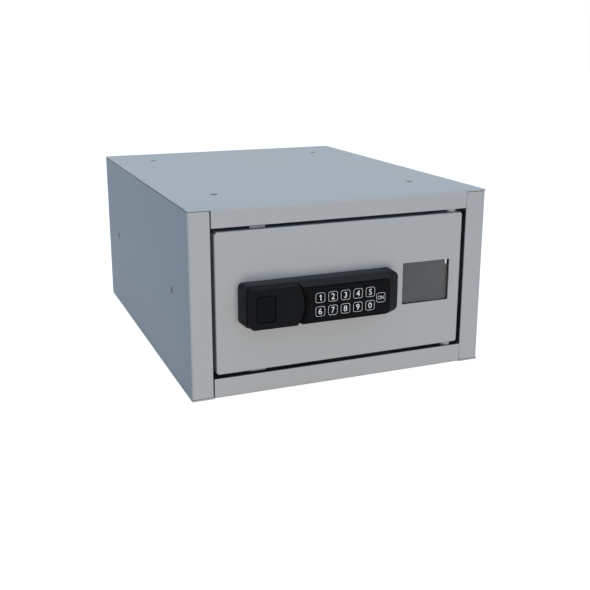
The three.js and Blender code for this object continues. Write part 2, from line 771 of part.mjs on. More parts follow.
// side is 1 for the bolt that goes up and -1 for the one that goes down. The upper bolt's rack
// runs left of the gear and the lower bolt's right of it, so one turn drives them apart.
function rackTeeth(side) {
  const pitchLine = KNOB_X - side * GEAR_RADIUS;
  const root = pitchLine - side * TOOTH_ROOT;
  const tip = pitchLine + side * TOOTH_TIP;
  const behind = root - side * FIT_GAP;
  const phase = side > 0 ? (GEAR_TEETH / 2) % 1 : 0;
  const count = Math.ceil(GEAR_TEETH / 4) + 2 * RACK_SPARE_TEETH;
  const teeth = [];
  for (let i = 0; i < count; i += 1) {
    const middle = LOCK_MIDDLE - side * (i - RACK_SPARE_TEETH + 0.5 + phase) * GEAR_PITCH;
    const outline = [
      point(behind, middle - toothHalf(-TOOTH_ROOT)),
      point(root, middle - toothHalf(-TOOTH_ROOT)),
      point(tip, middle - toothHalf(TOOTH_TIP)),
      point(tip, middle + toothHalf(TOOTH_TIP)),
      point(root, middle + toothHalf(-TOOTH_ROOT)),
      point(behind, middle + toothHalf(-TOOTH_ROOT)),
    ];
    teeth.push(prismY(outline, BOLT_FRONT, BOLT_BACK));
  }
  return teeth;
}

function bolt(side) {
  const railEdge = side > 0 ? TOP_RAIL_EDGE : BOTTOM_RAIL_EDGE;
  const tip = railEdge - side * BOLT_TIP_GAP;
  const linkStart = LOCK_MIDDLE + side * LINK_START;
  const linkEnd = linkStart + side * RACK_LINK;
  const armInner = KNOB_X - side * (GEAR_RADIUS + TOOTH_ROOT);
  const armOuter = armInner - side * RACK_BACK;
  const left = BOLT_X - BOLT_WIDTH / 2;
  const right = BOLT_X + BOLT_WIDTH / 2;
  const strip = between(linkStart, tip, (low, high) =>
    block(left, right, BOLT_FRONT, BOLT_BACK, low, high),
  );
  const link = between(linkStart, linkEnd, (low, high) =>
    block(
      Math.min(left, armInner, armOuter),
      Math.max(right, armInner, armOuter),
      BOLT_FRONT,
      BOLT_BACK,
      low,
      high,
    ),
  );
  const arm = between(LOCK_MIDDLE - side * RACK_END, linkEnd, (low, high) =>
    block(
      Math.min(armInner, armOuter),
      Math.max(armInner, armOuter),
      BOLT_FRONT,
      BOLT_BACK,
      low,
      high,
    ),
  );
  return joined(strip, link, arm, ...rackTeeth(side));
}

function drivePinion() {
  const points = [];
  const flank = [-TOOTH_ROOT, 0, TOOTH_TIP];
  for (let tooth = 0; tooth < GEAR_TEETH; tooth += 1) {
    const middle = (2 * Math.PI * tooth) / GEAR_TEETH;
    const rising = flank.map((height) => [height, -1]);
    const falling = [...flank].reverse().map((height) => [height, 1]);
    for (const [height, way] of [...rising, ...falling]) {
      const radius = GEAR_RADIUS + height;
      const angle = middle + way * Math.asin(toothHalf(height) / radius);
      points.push(point(KNOB_X + radius * Math.cos(angle), LOCK_MIDDLE + radius * Math.sin(angle)));
    }
  }
  const wheel = prismY(points, BOLT_FRONT, BOLT_BACK);
  const bore = prismY(
    circle(KNOB_X, LOCK_MIDDLE, SPINDLE_RADIUS + FIT_GAP, PIN_SIDES),
    BOLT_FRONT - OVERCUT,
    BOLT_BACK + OVERCUT,
  );
  return cutBy(wheel, bore);
}

function boltGuide(side) {
  const doorEdge = side > 0 ? DOOR_TOP : DOOR_BOTTOM;
  const near = doorEdge - side * (DOOR_THICKNESS + GUIDE_FROM_FLANGE);
  const half = BOLT_WIDTH / 2 + SLIDE_GAP;
  return between(near, near - side * GUIDE_HEIGHT, (low, high) => {
    const sleeve = block(
      BOLT_X - half - GUIDE_WALL,
      BOLT_X + half + GUIDE_WALL,
      SKIN_BACK,
      BOLT_BACK + SLIDE_GAP + GUIDE_WALL,
      low,
      high,
    );
    const bore = block(
      BOLT_X - half,
      BOLT_X + half,
      BOLT_FRONT - SLIDE_GAP,
      BOLT_BACK + SLIDE_GAP,
      low - OVERCUT,
      high + OVERCUT,
    );
    return cutBy(sleeve, bore);
  });
}

function coverSides() {
  const armSpan = GEAR_RADIUS + TOOTH_ROOT + RACK_BACK;
  return {
    x0: Math.min(KNOB_X - armSpan, BOLT_X - BOLT_WIDTH / 2) - COVER_MARGIN,
    x1: Math.max(KNOB_X + armSpan, BOLT_X + BOLT_WIDTH / 2) + COVER_MARGIN,
  };
}

// A pressed box over the gear and racks, open towards the door, with a tab at each side.
function boltCover() {
  const { x0, x1 } = coverSides();
  const z0 = LOCK_MIDDLE - COVER_HALF_HEIGHT;
  const z1 = LOCK_MIDDLE + COVER_HALF_HEIGHT;
  const front = SKIN_BACK;
  const back = FRONT + COVER_DEPTH;
  const shell = prismY(roundedRectangle(x0, x1, z0, z1, COVER_CORNER), front, back);
  const hollow = prismY(
    roundedRectangle(
      x0 + COVER_THICKNESS,
      x1 - COVER_THICKNESS,
      z0 + COVER_THICKNESS,
      z1 - COVER_THICKNESS,
      COVER_CORNER - COVER_THICKNESS,
    ),
    front - OVERCUT,
    back - COVER_THICKNESS,
  );
  const tabs = block(
    x0 - COVER_TAB,
    x1 + COVER_TAB,
    front,
    front + COVER_THICKNESS,
    LOCK_MIDDLE - COVER_TAB_HALF_HEIGHT,
    LOCK_MIDDLE + COVER_TAB_HALF_HEIGHT,
  );
  const boltWay = block(
    BOLT_X - BOLT_WIDTH / 2 - SLIDE_GAP,
    BOLT_X + BOLT_WIDTH / 2 + SLIDE_GAP,
    front - OVERCUT,
    BOLT_BACK + SLIDE_GAP,
    z0 - OVERCUT,
    z1 + OVERCUT,
  );
  const studHoles = coverStuds.map((s) =>
    prismY(circle(s.x, s.z, STUD_RADIUS + FIT_GAP), front - OVERCUT, front + COVER_THICKNESS + OVERCUT),
  );
  return cutBy(joined(shell, tabs), hollow, boltWay, ...studHoles);
}

// Lock

function lockOutline(inset) {
  return roundedRectangle(
    LOCK_LEFT + inset,
    LOCK_RIGHT - inset,
    LOCK_BOTTOM + inset,
    LOCK_TOP - inset,
    LOCK_CORNER,
  );
}

function faceOutline() {
  return roundedRectangle(LOCK_LEFT, FACE_RIGHT, FACE_BOTTOM, FACE_TOP, LOCK_CORNER);
}

// The keypad plate fills the face from the knob's round well to the right end, less a thin rim.
function plateOutline(grow) {
  const radius = WELL_RADIUS + KEYPAD_PLATE_RIM - grow;
  const low = FACE_BOTTOM + KEYPAD_PLATE_RIM - grow;
  const high = FACE_TOP - KEYPAD_PLATE_RIM + grow;
  const right = FACE_RIGHT - KEYPAD_PLATE_RIM + grow;
  const corner = LOCK_CORNER - KEYPAD_PLATE_RIM;
  const lowAngle = Math.asin((low - LOCK_MIDDLE) / radius);
  const highAngle = Math.asin((high - LOCK_MIDDLE) / radius);
  const quarter = Math.PI / 2;
  return [
    ...arcPoints(KNOB_X, LOCK_MIDDLE, radius, highAngle, lowAngle, ARC_STEPS),
    ...arcPoints(right - corner, low + corner, corner, -quarter, 0, CORNER_STEPS),
    ...arcPoints(right - corner, high - corner, corner, 0, quarter, CORNER_STEPS),
  ];
}

const PLATE_BACK = LOCK_DEPTH - KEYPAD_PLATE_THICKNESS;
const KEY_BACK = PLATE_BACK - FIT_GAP - KEY_FLANGE_THICKNESS;
const MAT_SEAT = KEY_BACK - KEY_TRAVEL - FIT_GAP - MAT_THICKNESS;
const BOARD_FRONT = MAT_SEAT - FIT_GAP;
const BOARD_BACK = BOARD_FRONT - BOARD_THICKNESS;
const BASE_CEILING = LOCK_BASE_DEPTH - LOCK_WALL;

// The room behind the keypad plate, stepped in at the board's ledge.
function keypadRoom(shrink) {
  const left = KNOB_X + WELL_RADIUS + LOCK_WALL + shrink;
  const right = FACE_RIGHT - LOCK_WALL - shrink;
  const low = FACE_BOTTOM + LOCK_WALL + shrink;
  const high = FACE_TOP - LOCK_WALL - shrink;
  return rectangle(left, right, low, high);
}

function lockHousing() {
  const base = loftOut([
    { outline: lockOutline(0), distance: 0 },
    { outline: lockOutline(LOCK_DRAFT), distance: LOCK_BASE_DEPTH },
    { outline: faceOutline(), distance: LOCK_DEPTH },
  ]);
  const wellFloor = out(LOCK_BASE_DEPTH);
  const wellMouth = out(LOCK_DEPTH + OVERCUT);
  const well = joined(
    prismY(circle(KNOB_X, LOCK_MIDDLE, WELL_RADIUS, 4 * PIN_SIDES), wellMouth, wellFloor),
    block(LOCK_LEFT - OVERCUT, KNOB_X, wellMouth, wellFloor, LOCK_BOTTOM - OVERCUT, LOCK_TOP + OVERCUT),
  );
  const room = roundedRectangle(
    LOCK_LEFT + LOCK_WALL,
    LOCK_RIGHT - LOCK_WALL,
    LOCK_BOTTOM + LOCK_WALL,
    LOCK_TOP - LOCK_WALL,
    LOCK_CORNER - LOCK_WALL,
  );
  const baseRoom = prismY(room, out(BASE_CEILING), out(-OVERCUT));
  const boardRoom = prismY(keypadRoom(0), out(BOARD_FRONT + FIT_GAP), out(BASE_CEILING - OVERCUT));
  const matRoom = prismY(keypadRoom(LEDGE_WIDTH), out(LOCK_DEPTH - OVERCUT), out(BASE_CEILING));
  const plateRecess = prismY(plateOutline(FIT_GAP), wellMouth, out(PLATE_BACK - FIT_GAP));
  const bushHole = prismY(
    circle(KNOB_X, LOCK_MIDDLE, BUSH_RADIUS + FIT_GAP, PIN_SIDES),
    out(LOCK_BASE_DEPTH + OVERCUT),
    out(BASE_CEILING - OVERCUT),
  );
  const postFoot = out(BACKPLATE_THICKNESS + FIT_GAP);
  const posts = lockScrews.map((s) =>
    prismY(circle(s.x, s.z, LOCK_POST_RADIUS), out(BASE_CEILING + OVERCUT), postFoot),
  );
  const screwHoles = lockScrews.map((s) =>
    prismY(
      circle(s.x, s.z, LOCK_SCREW_RADIUS + FIT_GAP),
      out(BACKPLATE_THICKNESS + LOCK_SCREW_GRIP + OVERCUT),
      out(-OVERCUT),
    ),
  );
  const shell = cutBy(base, well, baseRoom, boardRoom, matRoom, plateRecess, bushHole);
  return cutBy(joined(shell, ...posts), ...screwHoles);
}

function lockBackplate() {
  const inset = LOCK_WALL + FIT_GAP;
  const outline = roundedRectangle(
    LOCK_LEFT + inset,
    LOCK_RIGHT - inset,
    LOCK_BOTTOM + inset,
    LOCK_TOP - inset,
    LOCK_CORNER - inset,
  );
  const holes = [
    circle(KNOB_X, LOCK_MIDDLE, SPINDLE_RADIUS + SPINDLE_HOLE_GAP),
    ...lockScrews.map((s) => circle(s.x, s.z, LOCK_SCREW_RADIUS + FIT_GAP)),
  ];
  return cutBy(
    prismY(outline, out(BACKPLATE_THICKNESS), out(0)),
    ...holes.map((hole) => prismY(hole, out(BACKPLATE_THICKNESS + OVERCUT), out(-OVERCUT))),
  );
}

// The keys stand between the knob's well and the end of the face, inside the ledge around the mat.
// In a shorter lock they close up towards the well, and get smaller once their flanges would meet.
const KEY_TO_LEDGE = KEY_FLANGE + FIT_GAP + LEDGE_WIDTH + LOCK_WALL;
const KEYS_START = KNOB_X + WELL_RADIUS + KEY_TO_LEDGE;
const KEYS_END = FACE_RIGHT - KEY_TO_LEDGE;
const KEY_LEAST_GAP = 2 * KEY_FLANGE + FIT_GAP;
const KEY_LIMIT = (KEYS_END - KEYS_START - KEY_COLUMNS * KEY_LEAST_GAP) / (KEY_COLUMNS + 1);
const KEY_WIDTH = Math.min(KEY_SIZE, KEY_LIMIT);

// Column counts from 0, and the ON key is one past the last.
function keyX(column) {
  const wanted =
    column < KEY_COLUMNS
      ? FIRST_KEY_FROM_LOCK_END + column * KEY_PITCH
      : FIRST_KEY_FROM_LOCK_END + (KEY_COLUMNS - 1) * KEY_PITCH + ON_KEY_FROM_LAST_COLUMN;
  const furthest = KEYS_END - KEY_WIDTH / 2 - (KEY_COLUMNS - column) * (KEY_WIDTH + KEY_LEAST_GAP);
  return Math.min(LOCK_LEFT + wanted, furthest);
}

const keys = ["1", "2", "3", "4", "5", "6", "7", "8", "9", "0"].map((label, i) => ({
  name: "key_" + label,
  x: keyX(i % KEY_COLUMNS),
  z: LOCK_MIDDLE - KEYS_BELOW_LOCK_MIDDLE + (i < KEY_COLUMNS ? 1 : -1) * (KEY_ROW_PITCH / 2),
}));
keys.push({ name: "key_on", x: keyX(KEY_COLUMNS), z: LOCK_MIDDLE - KEYS_BELOW_LOCK_MIDDLE });

function keyOutline(key, grow) {
  const half = KEY_WIDTH / 2 + grow;
  return roundedRectangle(key.x - half, key.x + half, key.z - half, key.z + half, KEY_CORNER + grow, 3);
}

function keypadPlate() {
  const plate = prismY(plateOutline(0), out(LOCK_DEPTH), out(PLATE_BACK));
  const openings = keys.map((key) =>
    prismY(keyOutline(key, FIT_GAP), out(LOCK_DEPTH + OVERCUT), out(PLATE_BACK - OVERCUT)),
  );
  return cutBy(plate, ...openings);
}

// A cap with a flange behind the plate that keeps it in.
function keyCap(key) {
  const cap = loftOut([
    { outline: keyOutline(key, 0), distance: KEY_BACK },
    { outline: keyOutline(key, 0), distance: LOCK_DEPTH },
    { outline: keyOutline(key, -KEY_PROUD), distance: LOCK_DEPTH + KEY_PROUD },
  ]);
  const flange = prismY(keyOutline(key, KEY_FLANGE), out(KEY_BACK + KEY_FLANGE_THICKNESS), out(KEY_BACK));
  return joined(cap, flange);
}

function keypadMat() {
  return prismY(keypadRoom(LEDGE_WIDTH + FIT_GAP), out(MAT_SEAT + MAT_THICKNESS), out(MAT_SEAT));
}

function circuitBoard() {
  return prismY(keypadRoom(FIT_GAP), out(BOARD_FRONT), out(BOARD_BACK));
}

// Batteries lie one over the other in a tray against the backplate.
const TRAY_LEFT = KNOB_X + WELL_RADIUS + TRAY_FROM_WELL;
const TRAY_FLOOR = BACKPLATE_THICKNESS + FIT_GAP;

function batteryTray() {
  const half = BATTERY_PITCH / 2 + BATTERY_RADIUS + FIT_GAP + TRAY_WALL;
  const length = BATTERY_LENGTH + 2 * (FIT_GAP + TRAY_WALL);
  const outer = block(
    TRAY_LEFT,
    TRAY_LEFT + length,
    out(TRAY_FLOOR + TRAY_DEPTH),
    out(TRAY_FLOOR),
    LOCK_MIDDLE - half,
    LOCK_MIDDLE + half,
  );
  const pocket = block(
    TRAY_LEFT + TRAY_WALL,
    TRAY_LEFT + length - TRAY_WALL,
    out(TRAY_FLOOR + TRAY_DEPTH + OVERCUT),
    out(TRAY_FLOOR + TRAY_WALL),
    LOCK_MIDDLE - half + TRAY_WALL,
    LOCK_MIDDLE + half - TRAY_WALL,
  );
  return cutBy(outer, pocket);
}

function battery(side) {
  const z = LOCK_MIDDLE + (side * BATTERY_PITCH) / 2;
  const y = out(TRAY_FLOOR + TRAY_WALL + FIT_GAP + BATTERY_RADIUS);
  const start = TRAY_LEFT + TRAY_WALL + FIT_GAP;
  return joined(
    prismX(circle(y, z, BATTERY_RADIUS), start, start + BATTERY_LENGTH - TERMINAL_HEIGHT),
    prismX(circle(y, z, TERMINAL_RADIUS), start + OVERLAP, start + BATTERY_LENGTH),
  );
}

function clutchMotor() {
  const y = out(BACKPLATE_THICKNESS + FIT_GAP + MOTOR_RADIUS);
  const pinTip = KNOB_X + SPINDLE_COLLAR_RADIUS + FIT_GAP;
  const bodyStart = pinTip + MOTOR_PIN_LENGTH;
  return joined(
    prismX(circle(y, LOCK_MIDDLE, MOTOR_RADIUS), bodyStart, bodyStart + MOTOR_LENGTH),
    prismX(circle(y, LOCK_MIDDLE, MOTOR_PIN_RADIUS), pinTip, bodyStart + OVERLAP),
  );
}

function lockScrew(screw) {
  const seat = SKIN_BACK;
  const tip = out(BACKPLATE_THICKNESS + LOCK_SCREW_GRIP);
  return joined(
    prismY(circle(screw.x, screw.z, LOCK_SCREW_RADIUS), tip, seat + OVERLAP),
    prismY(circle(screw.x, screw.z, LOCK_SCREW_HEAD_RADIUS), seat, seat + LOCK_SCREW_HEAD),
  );
}

// Knob

function knobOutline(inset) {
  const half = KNOB_HALF_HEIGHT - inset;
  const radius = KNOB_ARC_RADIUS - inset;
  const left = KNOB_X - KNOB_TAIL + inset;
  const angle = Math.asin(half / radius);
  const quarter = Math.PI / 2;
  const low = LOCK_MIDDLE - half;
  const high = LOCK_MIDDLE + half;
  return [
    ...arcPoints(left + KNOB_CORNER, low + KNOB_CORNER, KNOB_CORNER, 2 * quarter, 3 * quarter, CORNER_STEPS),
    ...arcPoints(KNOB_X, LOCK_MIDDLE, radius, -angle, angle, ARC_STEPS),
    ...arcPoints(left + KNOB_CORNER, high - KNOB_CORNER, KNOB_CORNER, quarter, 2 * quarter, CORNER_STEPS),
  ];
}

const KNOB_BACK = LOCK_BASE_DEPTH + KNOB_LIFT;
const KNOB_CEILING = LOCK_DEPTH - KNOB_WALL;

function insertOutline(grow) {
  const x = KNOB_X - INSERT_FROM_AXIS;
  const halfWidth = INSERT_WIDTH / 2 + grow;
  const halfHeight = INSERT_HEIGHT / 2 + grow;
  return roundedRectangle(
    x - halfWidth,
    x + halfWidth,
    LOCK_MIDDLE - halfHeight,
    LOCK_MIDDLE + halfHeight,
    INSERT_CORNER + grow,
  );
}

function knobShell() {
  const layers = [{ outline: knobOutline(0), distance: KNOB_BACK }];
  for (let step = 0; step <= KNOB_EDGE_STEPS; step += 1) {
    const angle = ((Math.PI / 2) * step) / KNOB_EDGE_STEPS;
    layers.push({
      outline: knobOutline(LOCK_DRAFT + KNOB_EDGE * (1 - Math.cos(angle))),
      distance: LOCK_DEPTH - KNOB_EDGE * (1 - Math.sin(angle)),
    });
  }
  const body = loftOut(layers);
  const hollow = prismY(knobOutline(KNOB_WALL), out(KNOB_CEILING), out(KNOB_BACK - OVERCUT));
  const hub = prismY(
    circle(KNOB_X, LOCK_MIDDLE, KNOB_HUB_RADIUS, PIN_SIDES),
    out(KNOB_CEILING + OVERLAP),
    out(KNOB_BACK),
  );
  const bore = prismY(
    circle(KNOB_X, LOCK_MIDDLE, SPINDLE_RADIUS + FIT_GAP, PIN_SIDES),
    out(KNOB_CEILING),
    out(KNOB_BACK - OVERCUT),
  );
  const recess = prismY(
    insertOutline(0),
    out(LOCK_DEPTH + OVERCUT),
    out(LOCK_DEPTH - INSERT_THICKNESS - FIT_GAP),
  );
  return cutBy(joined(cutBy(body, hollow), hub), bore, recess);
}

function knobInsert() {
  return prismY(insertOutline(-INSERT_GAP), out(LOCK_DEPTH), out(LOCK_DEPTH - INSERT_THICKNESS));
}

const SPINDLE_NUT_SEAT = BOLT_BACK + FIT_GAP;

function spindle() {
  const collarMiddle = BACKPLATE_THICKNESS + FIT_GAP + MOTOR_RADIUS;
  return joined(
    prismY(
      circle(KNOB_X, LOCK_MIDDLE, SPINDLE_RADIUS, PIN_SIDES),
      out(KNOB_CEILING - FIT_GAP),
      SPINDLE_NUT_SEAT + SPINDLE_NUT_HEIGHT + THREAD_PROUD,
    ),
    prismY(
      circle(KNOB_X, LOCK_MIDDLE, SPINDLE_COLLAR_RADIUS, PIN_SIDES),
      out(collarMiddle + SPINDLE_COLLAR_HEIGHT / 2),
      out(collarMiddle - SPINDLE_COLLAR_HEIGHT / 2),
    ),
  );
}

function spindleBush() {
  const body = prismY(
    circle(KNOB_X, LOCK_MIDDLE, BUSH_RADIUS, PIN_SIDES),
    out(LOCK_BASE_DEPTH),
    out(BASE_CEILING - OVERLAP),
  );
  const flangeFront = BASE_CEILING - FIT_GAP;
  const flange = prismY(
    circle(KNOB_X, LOCK_MIDDLE, BUSH_FLANGE_RADIUS, PIN_SIDES),
    out(flangeFront),
    out(flangeFront - BUSH_FLANGE_THICKNESS),
  );
  const bore = prismY(
    circle(KNOB_X, LOCK_MIDDLE, SPINDLE_RADIUS + FIT_GAP, PIN_SIDES),
    out(LOCK_DEPTH),
    out(0),
  );
  return cutBy(joined(body, flange), bore);
}

// Assembly

function addCabinet() {
  const cabinet = new THREE.Group();
  place(cabinet, "top_panel", topPanel(), finishes.paint);
  place(cabinet, "bottom_panel", bottomPanel(), finishes.paint);
  place(cabinet, "left_side_panel", leftSidePanel(), finishes.paint);
  place(cabinet, "right_side_panel", rightSidePanel(), finishes.paint);
  place(cabinet, "back_panel", backPanel(), finishes.paint);
  for (const [word, side] of [["upper", 1], ["lower", -1]]) {
    place(cabinet, word + "_pivot_bracket", pivotBracket(side), finishes.zinc);
    place(cabinet, word + "_hinge_pin", hingePin(side), finishes.zinc);
    place(cabinet, word + "_hinge_washer", hingeWasher(side), finishes.nylon);
    place(cabinet, word + "_door_stop", doorStop(side), finishes.paint);
    place(cabinet, word + "_stop_bumper", stopBumper(side), finishes.rubber);
  }
  safe.add(cabinet);
}

function addDoor() {
  const door = new THREE.Group();
  place(door, "door_pan", doorPan(), finishes.paint);
  place(door, "window_gasket", windowRing(GASKET_FRONT, GASKET_BACK), finishes.rubber);
  place(door, "window_pane", windowPane(), finishes.clear);
  place(door, "window_retainer", windowRing(RETAINER_FRONT, RETAINER_BACK), finishes.zinc);
  for (const stud of windowStuds()) {
    const nut = nutOn(stud, RETAINER_BACK, NUT_RADIUS, NUT_HEIGHT, STUD_RADIUS);
    place(door, "window_nut_" + stud.name, nut, finishes.zinc);
  }
  place(door, "bolt_cover", boltCover(), finishes.zinc);
  for (const stud of coverStuds) {
    const nut = nutOn(stud, SKIN_BACK + COVER_THICKNESS, NUT_RADIUS, NUT_HEIGHT, STUD_RADIUS);
    place(door, "cover_nut_" + stud.name, nut, finishes.zinc);
  }
  place(door, "upper_bolt_guide", boltGuide(1), finishes.zinc);
  place(door, "lower_bolt_guide", boltGuide(-1), finishes.zinc);
  safe.add(door);
}

function addLock() {
  const lock = new THREE.Group();
  place(lock, "lock_housing", lockHousing(), finishes.housing);
  place(lock, "lock_backplate", lockBackplate(), finishes.zinc);
  place(lock, "keypad_plate", keypadPlate(), finishes.face);
  place(lock, "keypad_mat", keypadMat(), finishes.mat);
  place(lock, "circuit_board", circuitBoard(), finishes.board);
  place(lock, "battery_tray", batteryTray(), finishes.housing);
  place(lock, "battery_upper", battery(1), finishes.battery);
  place(lock, "battery_lower", battery(-1), finishes.battery);
  place(lock, "clutch_motor", clutchMotor(), finishes.motor);
  place(lock, "spindle_bush", spindleBush(), finishes.nylon);
  for (const screw of lockScrews) {
    place(lock, "lock_screw_" + screw.name, lockScrew(screw), finishes.zinc);
  }
  for (const key of keys) {
    place(lock, key.name, keyCap(key), finishes.face);
  }
  safe.add(lock);
}

function addKnobAndBolts() {
  const moving = new THREE.Group();
  place(moving, "knob", knobShell(), finishes.housing);
  place(moving, "knob_insert", knobInsert(), finishes.face);
  place(moving, "spindle", spindle(), finishes.zinc);
  place(moving, "drive_pinion", drivePinion(), finishes.zinc);
  const nutSeat = { x: KNOB_X, z: LOCK_MIDDLE };
  place(
    moving,
    "spindle_nut",
    nutOn(nutSeat, SPINDLE_NUT_SEAT, SPINDLE_NUT_RADIUS, SPINDLE_NUT_HEIGHT, SPINDLE_RADIUS),
    finishes.zinc,
  );
  place(moving, "upper_bolt", bolt(1), finishes.zinc);
  place(moving, "lower_bolt", bolt(-1), finishes.zinc);
  safe.add(moving);
}

addCabinet();
addDoor();
addLock();
addKnobAndBolts();

export default safe;
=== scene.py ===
# %% [markdown]
# # A small steel safe that sits inside a cabinet
# The object is a low box of folded steel sheet with a flush door, a little viewing window and a black lock
# with eleven keys and a turning knob. Its solids are already modelled to size, and this lesson dresses
# them: it rounds the edges, adds the printed marks and small fasteners, and gives each part its finish.
# The solids are loaded first and stay where they are, so everything made here is measured from them.

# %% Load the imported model
import json
import math
import bmesh
import bpy
from mathutils import Matrix, Vector


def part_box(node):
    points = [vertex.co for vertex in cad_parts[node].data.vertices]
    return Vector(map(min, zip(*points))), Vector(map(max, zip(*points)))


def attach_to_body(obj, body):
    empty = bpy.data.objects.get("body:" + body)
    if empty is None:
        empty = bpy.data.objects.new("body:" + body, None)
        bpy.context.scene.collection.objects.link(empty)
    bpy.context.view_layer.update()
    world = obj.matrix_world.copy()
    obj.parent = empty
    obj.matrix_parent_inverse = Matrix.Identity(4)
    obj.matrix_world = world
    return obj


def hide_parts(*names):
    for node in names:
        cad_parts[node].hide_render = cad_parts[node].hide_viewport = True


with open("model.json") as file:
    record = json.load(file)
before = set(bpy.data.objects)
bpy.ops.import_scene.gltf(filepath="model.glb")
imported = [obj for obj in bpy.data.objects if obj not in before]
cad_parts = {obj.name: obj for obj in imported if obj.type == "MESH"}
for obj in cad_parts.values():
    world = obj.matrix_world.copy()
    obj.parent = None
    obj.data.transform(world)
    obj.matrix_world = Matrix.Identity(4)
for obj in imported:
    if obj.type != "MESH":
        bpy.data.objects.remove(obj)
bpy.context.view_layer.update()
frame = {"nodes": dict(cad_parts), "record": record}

MM = 0.001


# %% [markdown]
# ## The camera
# A photograph fixes its own camera. Seven corners of the cabinet were enough to find where it stood, how
# it was turned and how long its lens was. The optical axis misses the middle of the frame a little, as in
# a crop from a larger picture, and a small lens shift copies that. Nothing else is needed: the verticals
# of the cabinet lean together by perspective alone.

# %% Place the camera
CAMERA_PLACE = (-0.3419, -0.9091, 0.3221)
CAMERA_AZIMUTH = -21.80
CAMERA_ELEVATION = 14.67
LENS_MM = 52.80
SENSOR_MM = 36.0
LENS_SHIFT = (0.0074, -0.0498)

camera_lens = bpy.data.cameras.new("photograph_camera")
camera_lens.lens = LENS_MM
camera_lens.sensor_width = SENSOR_MM
camera_lens.shift_x, camera_lens.shift_y = LENS_SHIFT
camera = bpy.data.objects.new("photograph_camera", camera_lens)
camera.location = CAMERA_PLACE
camera.rotation_euler = (math.radians(90.0 - CAMERA_ELEVATION), 0.0, math.radians(CAMERA_AZIMUTH))
bpy.context.scene.collection.objects.link(camera)
bpy.context.scene.camera = camera
print("camera", [round(value, 3) for value in camera.location], "lens", LENS_MM, "mm")

# %% [markdown]
# ## Helpers for node trees
# Shaders and geometry both come from node trees here, and a tree built in code reads best when one line
# makes one node. The first helper takes a node's kind, its inputs and its settings. An input that is given
# a socket is linked to it, and one that is given a plain value gets that value. The others make what the
# finishes need again and again: sums, noises, and the sockets of a new group.

# %% Helpers for node trees
QUARTER_TURN = (math.radians(90.0), 0.0, 0.0)
HALF_TURN = (math.radians(180.0), 0.0, 0.0)


def put(tree, kind, inputs=None, **settings):
    made = tree.nodes.new(kind)
    for name, value in settings.items():
        setattr(made, name, value)
    for name, value in (inputs or {}).items():
        if isinstance(value, bpy.types.NodeSocket):
            tree.links.new(value, made.inputs[name])
        else:
            made.inputs[name].default_value = value
    return made


def maths(tree, first, second, operation="ADD"):
    return put(tree, "ShaderNodeMath", {0: first, 1: second}, operation=operation).outputs[0]


def spread_about(tree, middle, mask, reach):
    """A value that wanders round a middle, as far as reach, where the mask runs from 0 to 1."""
    centred = maths(tree, mask, 0.5, "SUBTRACT")
    return maths(tree, middle, maths(tree, centred, reach, "MULTIPLY"))


def noise_of(tree, place, scale, detail=2.0, roughness=0.5):
    wanted = {"Vector": place, "Scale": scale, "Detail": detail, "Roughness": roughness}
    return put(tree, "ShaderNodeTexNoise", wanted).outputs["Fac"]


def per_metre(tree, size):
    return maths(tree, 1.0, size, "DIVIDE")


def shaded(tree, colour, factor):
    return put(tree, "ShaderNodeVectorMath", {0: colour, "Scale": factor}, operation="SCALE").outputs[0]


def group_of(name, inputs, outputs, kind="ShaderNodeTree"):
    """A new node group with its sockets, and the ends to which its nodes are linked."""
    tree = bpy.data.node_groups.new(name, kind)
    for label, socket_type, value in inputs:
        socket = tree.interface.new_socket(label, in_out="INPUT", socket_type=socket_type)
        if value is not None:
            socket.default_value = value
    for label, socket_type in outputs:
        tree.interface.new_socket(label, in_out="OUTPUT", socket_type=socket_type)
    given = tree.nodes.new("NodeGroupInput").outputs
    result = tree.nodes.new("NodeGroupOutput").inputs
    return tree, given, result


print("helpers ready")

# %% [markdown]
# ## Powder coat
# The cabinet and the door are coated with powder that melts in an oven. It flows into a skin that is
# never quite flat: soft dimples about a millimetre across, known as orange peel. The colour is even, with
# a very faint drift over a hand's width. Two noises make this. A fine one gives the dimples, which tilt
# the light and shade the colour a very little, and a broad one gives the drift. It is a group so that
# both paints can share it.

# %% Shader group for powder coat
VECTOR, COLOUR, FLOAT = "NodeSocketVector", "NodeSocketColor", "NodeSocketFloat"
FINISH_OUTPUTS = [("Colour", COLOUR), ("Roughness", FLOAT), ("Normal", VECTOR)]


def make_orange_peel():
    inputs = [
        ("Place", VECTOR, None),
        ("Colour", COLOUR, (0.4, 0.4, 0.4, 1.0)),
        ("Drift size", FLOAT, 0.12),
        ("Drift", FLOAT, 0.03),
        ("Dimple size", FLOAT, 0.0012),
        ("Dimple depth", FLOAT, 0.00003),
        ("Roughness", FLOAT, 0.45),
        ("Roughness spread", FLOAT, 0.08),
    ]
    tree, given, result = group_of("orange_peel", inputs, FINISH_OUTPUTS)
    drift = noise_of(tree, given["Place"], per_metre(tree, given["Drift size"]), detail=3.0)
    dimples = noise_of(tree, given["Place"], per_metre(tree, given["Dimple size"]), roughness=0.4)
    shade = spread_about(tree, 1.0, drift, given["Drift"])
    grained = spread_about(tree, shade, dimples, given["Drift"])
    tree.links.new(shaded(tree, given["Colour"], grained), result["Colour"])
    rough = spread_about(tree, given["Roughness"], drift, given["Roughness spread"])
    tree.links.new(rough, result["Roughness"])
    bump = put(tree, "ShaderNodeBump", {"Height": dimples, "Distance": given["Dimple depth"]})
    tree.links.new(bump.outputs["Normal"], result["Normal"])
    return tree


orange_peel = make_orange_peel()
print("made the group", orange_peel.name)

